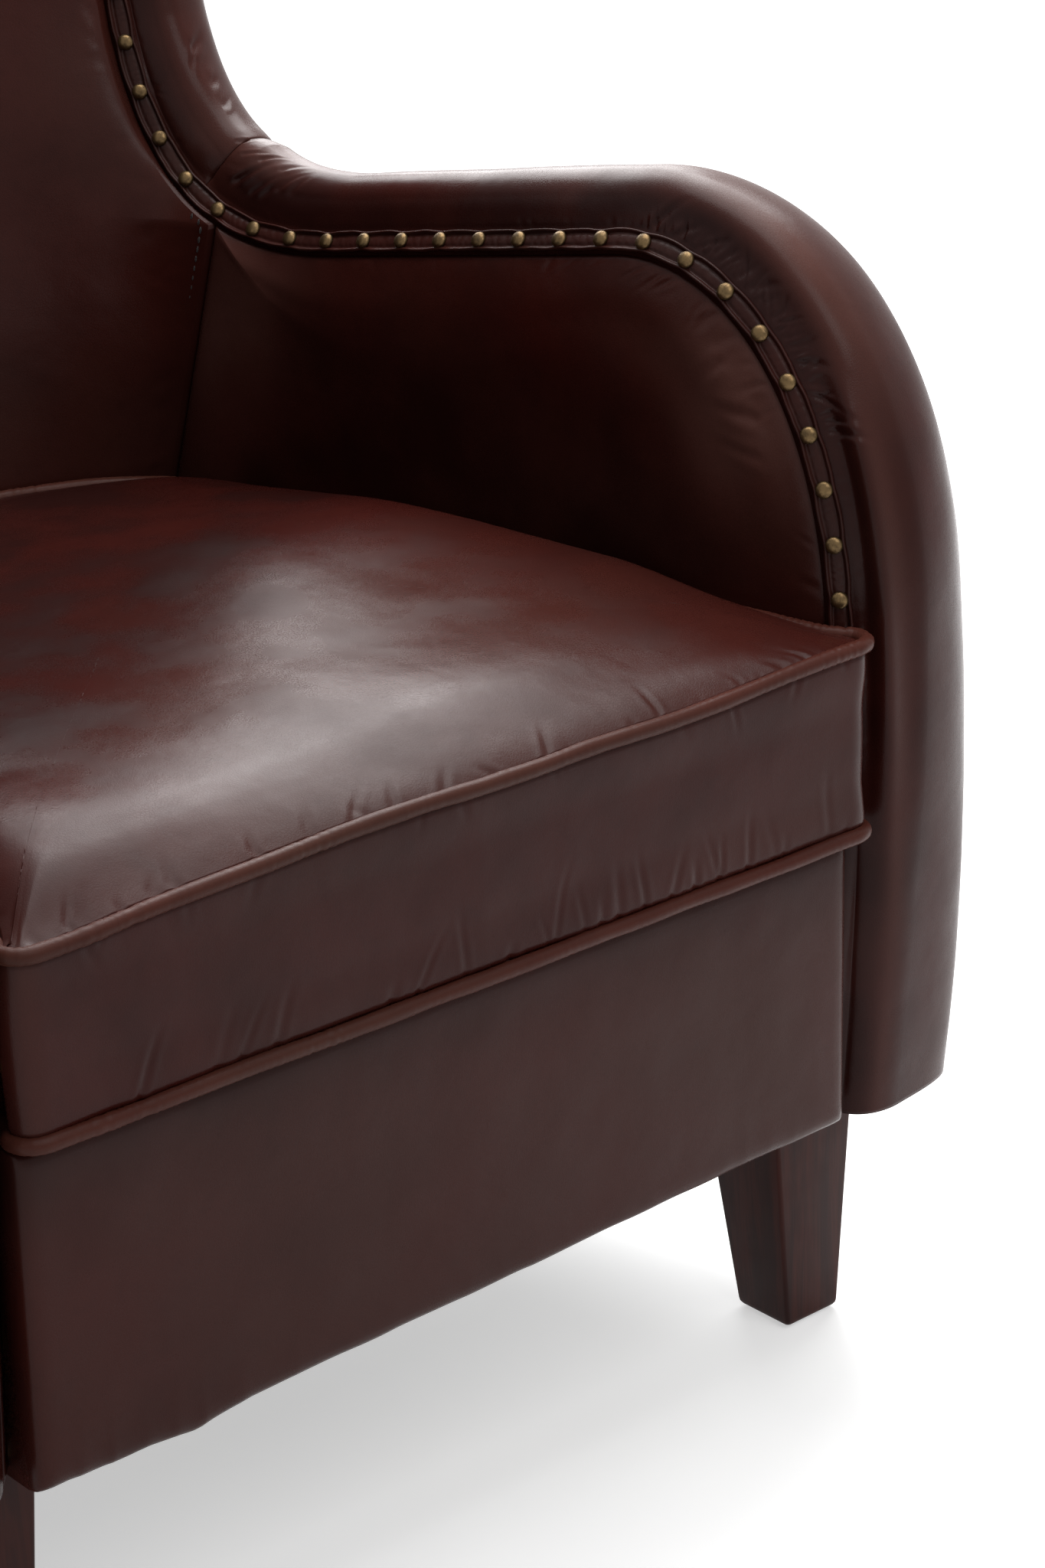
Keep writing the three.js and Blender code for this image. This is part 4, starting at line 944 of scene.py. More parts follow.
@dataclass(frozen=True)
class WoodFinish:
    """Wood with a running figure: stained and satin on the legs, raw in the frame."""

    name: str
    light: tuple
    dark: tuple
    rough: float
    relief: float = 0.00012
    shine: float = 0.4

    def material(self) -> Material:
        """Builds the material."""
        material, bench, shader, place = start_material(self.name)
        figure = SHELF.use(bench, Effect.WOOD_FIGURE, Place=place, Light=self.light, Dark=self.dark).outputs
        film = SHELF.use(bench, Effect.DUST, Place=place, Amount=0.3).outputs["Mask"]
        bench.feed(shader, {
            "Base Color": figure["Color"],
            "Roughness": bench.sum("ADD", self.rough, bench.sum("MULTIPLY", film, 0.25)),
            "Specular IOR Level": self.shine,
            "Normal": bench.bump(figure["Height"], self.relief, 0.6),
        })
        return material


@dataclass(frozen=True)
class ClothFinish:
    """Woven cloth."""

    name: str
    light: tuple
    dark: tuple
    threads: float = 900.0

    def material(self) -> Material:
        """Builds the material."""
        material, bench, shader, place = start_material(self.name)
        weave = SHELF.use(bench, Effect.CLOTH_WEAVE, Place=place, Threads=self.threads).outputs
        bench.feed(shader, {
            "Base Color": bench.blend(bench.span(weave["Shade"], 0.35, 0.65), self.dark, self.light),
            "Roughness": bench.span(weave["Shade"], 0.3, 0.7, 0.82, 0.95),
            "Sheen Weight": 0.15,
            "Normal": bench.bump(weave["Height"], 0.0003, 0.8),
        })
        return material


@dataclass(frozen=True)
class PlainFinish:
    """Steel, plastic or foam: one stuff with a fine uneven surface."""

    name: str
    light: tuple
    dark: tuple
    rough: float
    metal: float = 0.0
    speckle: float = 300.0
    relief: float = 0.0001

    def material(self) -> Material:
        """Builds the material."""
        material, bench, shader, place = start_material(self.name)
        film = SHELF.use(bench, Effect.DUST, Place=place, Amount=0.7).outputs["Mask"]
        fleck = bench.noise(place, self.speckle, 4.0, 0.6)
        mask = bench.sum("ADD", bench.sum("MULTIPLY", film, 0.5), bench.span(fleck, 0.4, 0.65, 0.0, 0.5), True)
        bench.feed(shader, {
            "Base Color": bench.blend(mask, self.light, self.dark),
            "Roughness": bench.span(fleck, 0.3, 0.7, self.rough - 0.06, self.rough + 0.08),
            "Metallic": self.metal,
            "Normal": bench.bump(fleck, self.relief, 0.7),
        })
        return material


class Slot(Enum):
    """Material slots of the record."""

    LEATHER = "leather"
    PIPING = "piping_leather"
    TRIM = "trim_leather"
    BRASS = "nail_brass"
    THREAD = "seam_thread"
    LEG = "leg_wood"
    FRAME = "frame_wood"
    STEEL = "spring_steel"
    FOAM = "foam"
    CLOTH = "dark_cloth"
    PLASTIC = "glide_plastic"
    ZIP = "zip_tape"


class Finishes:
    """Every finish of the chair, built once."""

    def __init__(self) -> None:
        """Builds the materials."""
        makers = {
            Slot.LEATHER: LeatherFinish("antiqued_leather"),
            Slot.PIPING: LeatherFinish("piping_leather", body=(0.062, 0.022, 0.015, 1), warm=(0.078, 0.018, 0.012, 1),
                                       darkness=0.35, rough=0.36, crease=0.0003),
            Slot.TRIM: LeatherFinish("trim_leather", body=(0.028, 0.0110, 0.0085, 1), darkness=0.7, rough=0.30,
                                     crease=0.0003, grain=0.00003),
            Slot.BRASS: BrassFinish(),
            Slot.THREAD: ClothFinish("waxed_thread", (0.018, 0.010, 0.009, 1), (0.008, 0.005, 0.005, 1), 2600.0),
            Slot.LEG: WoodFinish("stained_leg_wood", (0.046, 0.0110, 0.0078, 1), (0.019, 0.0045, 0.0036, 1), 0.5,
                                 shine=0.15),
            Slot.FRAME: WoodFinish("frame_beech", (0.52, 0.34, 0.19, 1), (0.36, 0.21, 0.11, 1), 0.62, 0.0003),
            Slot.STEEL: PlainFinish("spring_steel", (0.42, 0.41, 0.40, 1), (0.16, 0.15, 0.14, 1), 0.38, 1.0),
            Slot.FOAM: PlainFinish("seat_foam", (0.78, 0.72, 0.50, 1), (0.62, 0.55, 0.36, 1), 0.9, 0.0, 520.0, 0.0006),
            Slot.CLOTH: ClothFinish("dark_cloth", (0.020, 0.020, 0.021, 1), (0.009, 0.009, 0.010, 1)),
            Slot.PLASTIC: PlainFinish("glide_plastic", (0.62, 0.60, 0.55, 1), (0.45, 0.43, 0.38, 1), 0.5),
            Slot.ZIP: ClothFinish("zip_tape", (0.030, 0.018, 0.016, 1), (0.014, 0.009, 0.009, 1), 1500.0),
        }
        self._materials = {slot: maker.material() for slot, maker in makers.items()}

    def dress(self, obj: Piece, slot: Slot) -> Piece:
        """Gives a piece its finish and names its slot."""
        obj.data.materials.clear()
        obj.data.materials.append(self._materials[slot])
        return obj


@dataclass
class Workshop:
    """What every sub-assembly needs to make its pieces."""

    maker: Maker
    finishes: Finishes
    nodes: dict

    def fit(self, obj: Piece, slot: Slot, body: str, *replaced: str, fill: float | None = None) -> Piece:
        """Dresses a piece, seats it on its body and reports it.

        Args:
            obj: the piece.
            slot: its finish.
            body: the body that it rides on.
            replaced: the solids that it stands for.
            fill: how full it is, for a padded piece; not used.

        Returns:
            The piece.
        """
        self.finishes.dress(obj, slot)
        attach(obj, body)
        if replaced:
            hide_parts(*replaced)
        LOG.info("%s: %d points, %s, on %s", obj.name, len(obj.data.vertices), slot.value, body)
        return obj

    def leather(self, name: str, grid: Points, node: str, fill: float, mirror: int = 1, body: str = "frame") -> Piece:
        """Makes a padded leather piece that stands for one solid.

        Args:
            name: the piece's name.
            grid: points by row and column in the plan's frame.
            node: the solid.
            fill: how full it is.
            mirror: -1 for the left side.
            body: the body that it rides on.

        Returns:
            The piece.
        """
        return self.fit(self.maker.skin(name, grid, mirror), Slot.LEATHER, body, node, fill=fill)


# A side: arm and wing


def level(sets: Values, height: float) -> Points:
    """Points of a side's plane at one height."""
    return points_of(sets, height)


def framed(values: Values, before: Sequence[float], after: Sequence[float]) -> Values:
    """Rows of values with the same columns set before and after each."""
    rows = len(values)
    return np.concatenate([np.tile(before, (rows, 1)), values, np.tile(after, (rows, 1))], axis=1)


def fan(outline: Points, heart: Points, shares: Values) -> tuple:
    """Lays rings inside an outline, each closer to its middle.

    Args:
        outline: points of the edge in a plane.
        heart: the point that the rings close in on.
        shares: how far in each ring lies, from 0 to 1.

    Returns:
        How far in each point lies, and the points, by edge point and ring.
    """
    inset = shares[None, :] * np.linalg.norm(outline - heart, axis=1)[:, None]
    return inset, outline[:, None, :] + (heart - outline)[:, None, :] * shares[None, :, None]


@dataclass(frozen=True)
class TrimStrip:
    """The folded strip under the nails, in section: across it toward the band, and off its back."""

    width: float = 15.0
    tilt: float = 35.0
    middle: tuple = (8.2, -1.8)
    nail_pitch: float = 31.6
    nail_seat: float = 1.6
    head_radius: float = 5.0
    head_height: float = 3.0
    pinch: float = 6.5

    @property
    def across(self) -> Points:
        """Direction across the strip, as reach and rise."""
        return np.array([math.sin(math.radians(self.tilt)), math.cos(math.radians(self.tilt))])

    @property
    def off(self) -> Points:
        """Direction off the strip's back, as reach and rise."""
        return np.array([-self.across[1], self.across[0]])

    def point(self, across: Values, lift: Values) -> tuple:
        """Reach and rise of a point at a distance across and a lift off the back."""
        return tuple(self.middle[i] + self.across[i] * across + self.off[i] * lift for i in (0, 1))

    def nail_points(self, count: int) -> tuple:
        """Reach and rise of the seats of some nails."""
        return self.point(np.zeros((count, 1)), np.full((count, 1), self.nail_seat))

    def band_start(self, depth: float) -> tuple:
        """Where a band starts under the strip at a depth below the line, and where it comes out beside it."""
        seat = np.array(self.middle) - self.off * PLAN.gap
        return seat + self.across * ((-depth - seat[1]) / self.across[1]), seat + self.across * self.width / 2

    def surface(self, along: Values, phase: Values, pitch: float, noise: Unevenness) -> tuple:
        """Surface of the strip: a rolled lip along each side and a dished, puckered middle.

        Args:
            along: length along the strip.
            phase: place between nails, whole at each nail.
            pitch: distance between nails.
            noise: what makes it uneven.

        Returns:
            Reach and rise by row and column.
        """
        tight = hump_at((phase - np.round(phase)) * pitch, 0, self.pinch)
        columns = []
        for sign, shift in ((-1, 700), (1, 100)):
            wave = 0.45 * noise.line(along + shift, 16) + 0.25 * noise.line(along + shift, 6)
            half = self.width / 2 - 1.9 + 0.75 * (1 - tight) + 0.6 * wave
            lip = 1.0 - 0.35 * tight + 0.5 * noise.line(along + shift + 50, 10)
            fold = 0.4 * (1 - tight) * gathers(along + shift, 6.5, noise)
            flat = np.zeros_like(half)
            side = [(half, flat), (half + 0.5, flat + 0.8), (half + 0.45, 1.6 + 0.5 * lip),
                    (half - 0.3, 2.0 + lip), (half - 1.15, 1.8 + lip), (half - 1.75, 1.2 + 0.3 * lip),
                    (half - 2.3, flat + 0.75), (half - 3.2, 0.9 + 0.3 * fold), (flat + 2.0, 1.5 + fold)]
            side = [(sign * across, lift) for across, lift in side]
            columns += side if sign < 0 else [(flat, 1.6 + 0.2 * fold)] + side[::-1]
        return self.point(*(np.stack(values, axis=1) for values in zip(*columns)))

    def head(self) -> Points:
        """Radius and height of a nail head, from its hidden rim to its tip."""
        angles = np.radians(np.linspace(0, 86, 9))
        dome = points_of(self.head_radius * np.cos(angles) ** 0.9, 0.5 + self.head_height * np.sin(angles))
        return np.concatenate([[[self.head_radius - 0.8, -0.6], [self.head_radius - 0.1, 0.0]], dome])


STRIP = TrimStrip()


@dataclass
class ArmAndWing:
    """One arm with its wing: pads, bands, nailed trim and outside panels."""

    shop: Workshop
    side: str
    mirror: int
    seed: int
    band_start: float = 3.0
    band_seat: float = 9.0
    band_seam_gap: float = 0.15
    peak_reach: float = 45.0
    outer_reach: float = 106.0
    foot_square: float = 0.5
    foot_drop: float = 9.0
    rear_overhang: float = 6.0
    row_step: float = 2.2
    fine_step: float = 1.0
    pad_heart: tuple = (285.25, 457.15)
    arm_heart: tuple = (330.0, 370.0)
    wing_heart: tuple = (665.0, 650.0)

    def __post_init__(self) -> None:
        """Sets the side's own unevenness."""
        self.noise = Unevenness(self.seed)

    def build(self) -> None:
        """Builds and dresses the whole side."""
        self.band("arm_band", self.band_start, LINE.band_seam - self.band_seam_gap)
        self.band("wing_band", LINE.band_seam + self.band_seam_gap, LINE.end)
        self.inner_pad()
        self.trim()
        self.nails()
        self.outside_arm()
        self.outside_wing()

    def band_section(self, places: Places, upper: Points) -> tuple:
        """Plain section of the band: a high crown, squarer toward its foot.

        Args:
            places: places along the nail line.
            upper: reach and rise at which it comes out beside the strip.

        Returns:
            Reach and rise by row and column.
        """
        rows = len(places.along)
        inner = np.radians(np.linspace(171, 90, 34))
        outer = np.radians(np.linspace(86, -8, 26))
        foot = 1 - ease(places.along, 40, 330)[:, None]
        power = 1 - self.foot_square * foot
        outer_cos, outer_sin = (np.sign(v) * np.abs(v) ** power for v in (np.cos(outer), np.sin(outer)))
        over = np.tile(self.peak_reach + (self.peak_reach - upper[0]) * np.cos(inner), (rows, 1))
        reach = np.concatenate([over, self.peak_reach + (self.outer_reach - self.peak_reach) * outer_cos], axis=1)
        sine = np.concatenate([np.tile(np.sin(inner), (rows, 1)), outer_sin], axis=1)
        return reach, (places.crown[:, None] - self.foot_drop * foot) * sine

    def band(self, kind: str, low: float, high: float) -> None:
        """Builds the padded band between two lengths of the nail line.

        Args:
            kind: the piece's name after its side.
            low: where it starts.
            high: where it ends.
        """
        hump, top = LINE.start["hump"], LINE.start["top"]
        bends = [(hump + 70, hump + 270), (LINE.seam - 70, LINE.seam + 110), (top - 5, top + 125)]
        places = LINE.paced(low, high, self.row_step, self.fine_step, bends)
        lower, upper = STRIP.band_start(self.band_seat)
        reach, rise = self.band_section(places, upper)
        cols = np.arange(reach.shape[1])
        tangent = points_of(np.gradient(reach, axis=1), np.gradient(rise, axis=1))
        length = np.linalg.norm(tangent, axis=-1)
        steps = np.cumsum((length[:, 1:] + length[:, :-1]) / 2, axis=1)
        across = np.concatenate([np.zeros((len(reach), 1)), steps], axis=1)
        along = np.tile(places.along[:, None], (1, len(cols)))
        lift = self.band_relief(along, across)
        lift *= ease(cols, -1, 2) * (1 - ease(cols, len(cols) - 9, len(cols) - 1))
        reach = framed(reach - tangent[..., 1] / length * lift, (lower[0], upper[0]), (PLAN.panel_outer,))
        rise = framed(rise + tangent[..., 0] / length * lift, (lower[1], upper[1]), (-self.band_seat,))
        grid = side_points(places, reach, rise, -self.rear_overhang)
        obj = self.shop.leather(f"{self.side}_{kind}_leather", grid, f"{self.side}_{kind}", 0.8, self.mirror)
        along = np.tile(places.along[:, None], (1, grid.shape[1]))
        across = np.concatenate([across[:, :1], across[:, :1], across, across[:, -1:]], axis=1)
        light_and_tone_masks(obj, *self.band_light_and_tone(along, across))

    def band_relief(self, along: Values, across: Values) -> Values:
        """Height of the band's gathers, ridge and swells over its plain section.

        Args:
            along: length along the nail line.
            across: distance over the band from the trim.

        Returns:
            The height in millimetres.
        """
        noise = self.noise
        hump, seam, top = LINE.start["hump"], LINE.band_seam, LINE.start["top"]
        points = points_of(along, across, along * 0)
        front = (1 - ease(along, hump + 82, hump + 142)) * ease(along, 130, 290)
        bend = hump_at(along, hump + 175, 85)
        rise = 0.9 * noise.layered(points, 110.0, 2) + 0.2 * noise.at(points + 40, 30.0)
        rise -= 2.2 * front * hump_at(across, 6, 4.5) + 3.2 * bend * hump_at(across, 11, 9)
        rise += 3.2 * front * hump_at(across, 17 + 1.5 * noise.line(along, 90), 5)
        rise += 0.8 * bend * hump_at(across, 27, 8) - 1.8 * front * hump_at(across, 31, 8)
        rise += Creases.relief(self.seed, along, across, [
            (hump + 92, hump + 258, 3.6, (8, 20), (0.3, 0.75), (0.9, 1.4), 0.22, (-3, 1)),
            (hump + 84, hump + 262, 11.0, (14, 28), (0.4, 0.9), (1.5, 2.6), 0.35, (-3, 1)),
            (200.0, hump + 90, 17.0, (8, 15), (0.15, 0.45), (1.2, 2.2)),
            (hump + 262, seam - 50, 15.0, (5, 11), (0.15, 0.45), (1.2, 2.0)),
            (seam - 76, seam - 8, 9.0, (16, 34), (0.4, 1.0), (2.2, 3.6), 0.15, (3, 20), -0.55),
            (seam - 54, seam + 4, 10.0, (16, 30), (0.35, 0.8), (2.0, 3.2), 0.2, (26, 40), -0.7),
            (seam + 26, seam + 92, 13.0, (16, 30), (0.4, 0.9), (2.2, 3.8), 0.2, (30, 48), 0.5),
            (seam + 10, top + 10, 21.0, (6, 14), (0.15, 0.45), (1.4, 2.4)),
            (top - 4, top + 122, 6.0, (8, 20), (0.25, 0.7), (1.2, 2.0), 0.25),
        ])
        return rise - 1.3 * np.exp(-np.abs(along - seam) / 1.2) - 1.1 * hump_at(along, seam, 8)

    def band_light_and_tone(self, along: Values, across: Values) -> tuple:
        """Painted highlight, reddening and painted shade of the band.

        Args:
            along: length along the nail line.
            across: distance over the band from the trim.

        Returns:
            The three values of each point.
        """
        hump, seam = LINE.start["hump"], LINE.band_seam
        over_arm = ease(along, hump + 150, hump + 260) * (1 - ease(along, seam - 40, seam + 30))
        front = 1 - ease(along, hump + 40, hump + 160)
        # Painted highlights on the arm top, the hump, the seam area and the front ridge, where lamps would catch.
        rubbed = 0.36 * over_arm * ease(across, 40, 66) + 0.30 * hump_at(along, hump + 190, 60) * hump_at(across, 40, 14)
        rubbed += 0.30 * front * hump_at(across, 24, 6) + 0.22 * front * ease(across, 62, 84)
        rubbed += 0.55 * hump_at(along, hump + 175, 80) * hump_at(across, 38, 15)
        rubbed += 0.55 * hump_at(along, seam - 30, 40) * hump_at(across, 32, 24)
        patchy = 0.5 + 0.5 * self.noise.line(along[:, :1] + 60, 70)
        reddened = front * 0.9 * patchy * hump_at(across, 58, 20) + 0.3 * over_arm * hump_at(across, 24, 10)
        # Painted shade in the hollow beside the trim, on the front's middle and on the arm top's inner side.
        darkened = 0.72 * (1 - ease(across, 9, 24)) + 0.35 * front * hump_at(across, 42, 9)
        return rubbed, reddened, darkened + 0.6 * over_arm * hump_at(across, 20, 12)

    def inner_pad(self) -> None:
        """Builds the inside of the arm: a crowned pad drawn in beside the trim and the back."""
        noise = self.noise
        places = LINE.between(LINE.length_at_height(PLAN.deck_bottom), LINE.seam, 1.7)
        edge = places.at - places.out * PLAN.pad_top
        edge[0, 1] = PLAN.deck_bottom
        top_set, top = edge[-1]
        heights = np.linspace(top, PLAN.deck_bottom, 80)[1:]
        rear = points_of(top_set + PLAN.seam_run * (top - heights), heights)
        bottom = level(np.linspace(rear[-1, 0], edge[0, 0], 60)[1:-1], PLAN.deck_bottom)
        rest = np.zeros(len(rear) + len(bottom))
        trimmed = np.concatenate([np.ones(len(edge)), rest])[:, None]
        along = np.concatenate([places.along, rest])[:, None]
        shares = np.concatenate([[0.0], np.linspace(0, 1, 60) ** 1.6 * 0.97])
        inset, point = fan(np.concatenate([edge, rear, bottom]), np.array(self.pad_heart), shares)
        setback, height = point[..., 0], point[..., 1]
        hump = LINE.start["hump"]
        crease = trimmed * Creases.relief(self.seed + 20, np.tile(along, (1, inset.shape[1])), inset, [
            (hump + 110, hump + 262, 12.0, (12, 30), (0.25, 0.65), (1.8, 3.2), 0.25),
            (hump - 60, hump + 100, 24.0, (10, 24), (0.2, 0.5), (2.0, 3.4), 0.3),
            (hump + 90, hump + 190, 30.0, (18, 34), (0.5, 0.9), (3.4, 5.0), 0.4, (14, 30)),
            (hump + 262, LINE.seam, 30.0, (8, 18), (0.15, 0.4), (1.8, 3.2), 0.3),
        ])
        bend = hump_at(along, hump + 130, 90) * trimmed
        roll = hump_at(inset, 26 + 5 * noise.line(along, 70), 16) * (0.8 * trimmed + 2.2 * bend)
        swell = 1.5 * noise.layered(points_of(setback, height, height * 0) + 90, 90.0, 2)
        reach = rolled(inset, 60, 7.0, 2.4) - 2.5 * ease(inset, 8, 70) - roll
        reach -= swell * ease(inset, 4, 40) + crease * ease(inset, 0, 6)
        reach[:, 0] = PLAN.pad_thickness - PLAN.gap
        grid = PLAN.on_side(reach, setback, height)
        obj = self.shop.leather(f"{self.side}_inside_arm_leather", grid.transpose(1, 0, 2),
                                f"{self.side}_inside_arm_pad", 0.75, self.mirror)
        # Painted highlights at the pad's corners; painted shade over its middle, lifted where highlit.
        rubbed = 0.95 * hump_at(setback, 80, 40) * hump_at(height, 552, 50)
        rubbed += 0.42 * hump_at(setback, 128, 60) * hump_at(height, 588, 26)
        rubbed += hump_at(setback, 488, 50) * hump_at(height, 556, 66)
        reddened = 0.75 * hump_at(setback, 215, 110) * hump_at(height, 585, 50)
        darkened = 0.72 * ease(inset, 15, 90) * (1 - 0.55 * hump_at(setback, 210, 120) * hump_at(height, 600, 40))
        light_and_tone_masks(obj, rubbed.T, reddened.T, (darkened * (1 - np.minimum(1, 2.2 * rubbed))).T)

    def nail_lengths(self) -> Values:
        """Length from the foot of each nail."""
        span = LINE.trim_end - LINE.trim_start
        count = round(span / STRIP.nail_pitch)
        return LINE.trim_start + span * (np.arange(count) + 0.5) / count

    def trim(self) -> None:
        """Builds the folded strip under the nails, pinched in at each one."""
        places = LINE.between(LINE.trim_start, LINE.trim_end, 1.1)
        nails = self.nail_lengths()
        pitch = nails[1] - nails[0]
        reach, rise = STRIP.surface(places.along, (places.along - nails[0]) / pitch, pitch, self.noise)
        obj = self.shop.maker.skin(f"{self.side}_trim_strip", side_points(places, reach, rise), self.mirror)
        subdivide(obj, 1)
        self.shop.fit(obj, Slot.TRIM, "frame", f"{self.side}_nail_trim")

    def nails(self) -> None:
        """Builds the domed nail heads, each tipped a little its own way."""
        places = LINE.places(self.nail_lengths())
        seats = side_points(places, *STRIP.nail_points(len(places.along)))[:, 0]
        tips = 0.04 * self.noise.line(places.out[:, 0] * 911, 1.0)
        local = np.concatenate([STRIP.off[0] + tips[:, None], places.out * STRIP.off[1]], axis=1)
        cos, sin = math.cos(PLAN.turn), math.sin(PLAN.turn)
        looks = local @ np.array([[cos, sin, 0], [-sin, cos, 0], [0, 0, 1]])
        obj = self.shop.maker.beads(f"{self.side}_nail_heads", STRIP.head(), seats, looks, self.mirror)
        self.shop.fit(obj, Slot.BRASS, "frame")

    def panel(self, kind: str, outline: Points, heart: tuple, puff: float = 0.8) -> None:
        """Builds an outside panel from its outline in the side's plane.

        Args:
            kind: the piece's name after its side.
            outline: set and height of its edge.
            heart: set and height of a middle that sees the whole edge.
            puff: how far its middle swells.
        """
        behind = np.array([0.97, 0.8, 0.6, 0.4, 0.25, 0.12, 0.04, 0.0])
        shares = np.concatenate([behind, np.linspace(0, 1, 34) ** 1.7 * 0.97])
        inset, point = fan(outline, np.array(heart), shares)
        setback, height = point[..., 0], point[..., 1]
        swell = 0.8 * self.noise.layered(points_of(setback, height, height * 0 + 50), 110.0, 2)
        outer = PLAN.panel_outer
        reach = outer - rolled(inset, 16, 3.0) + puff * ease(inset, 0, 110) + swell * ease(inset, 5, 50)
        reach[:, :len(behind)] = PLAN.frame_outer + PLAN.gap
        reach = np.minimum(reach, outer + puff)
        limit = PLAN.back_set(reach, height, PLAN.back_layer)
        grid = PLAN.on_side(reach, np.minimum(setback, limit), height)
        self.shop.leather(f"{self.side}_{kind}_leather", grid.transpose(1, 0, 2), f"{self.side}_{kind}_panel", 0.3,
                          self.mirror)

    def rear_edge(self, heights: Values) -> Points:
        """Set and height of the panels' rear edge."""
        return points_of(PLAN.back_set(PLAN.panel_outer, heights, PLAN.back_layer), heights)

    def outside_arm(self) -> None:
        """Builds the outside arm panel."""
        places = LINE.between(0.0, LINE.seam, 6.0)
        edge = places.at - places.out * PLAN.pad_top
        edge[0, 1] = PLAN.hem_height
        top = edge[-1, 1]
        rear = self.rear_edge(np.linspace(top, PLAN.hem_height, 70))
        high = level(np.linspace(edge[-1, 0], rear[0, 0], 24)[1:], top)
        hem = level(np.linspace(rear[-1, 0], edge[0, 0], 90)[1:-1], PLAN.hem_height)
        self.panel("outside_arm", np.concatenate([edge, high, rear[1:], hem]), self.arm_heart)

    def outside_wing(self) -> None:
        """Builds the outside wing panel."""
        places = LINE.between(LINE.seam, LINE.start["tail"], 6.0)
        edge = places.at - places.out * PLAN.pad_top
        edge[0, 1] += PLAN.gap
        low = edge[0, 1]
        rear = self.rear_edge(np.linspace(edge[-1, 1], low, 70))
        hem = level(np.linspace(rear[-1, 0], edge[0, 0], 30)[1:-1], low)
        self.panel("outside_wing", np.concatenate([edge, rear, hem]), self.wing_heart)


def subdivide(obj: Piece, levels: int) -> None:
    """Rounds a piece by subdividing it, with the result kept in its mesh."""
    modifier = obj.modifiers.new("round", "SUBSURF")
    modifier.levels = levels
    bpy.context.view_layer.update()
    evaluated = obj.evaluated_get(bpy.context.evaluated_depsgraph_get())
    data = bpy.data.meshes.new_from_object(evaluated)
    obj.modifiers.clear()
    obj.data = data
    data.polygons.foreach_set("use_smooth", [True] * len(data.polygons))


# Back


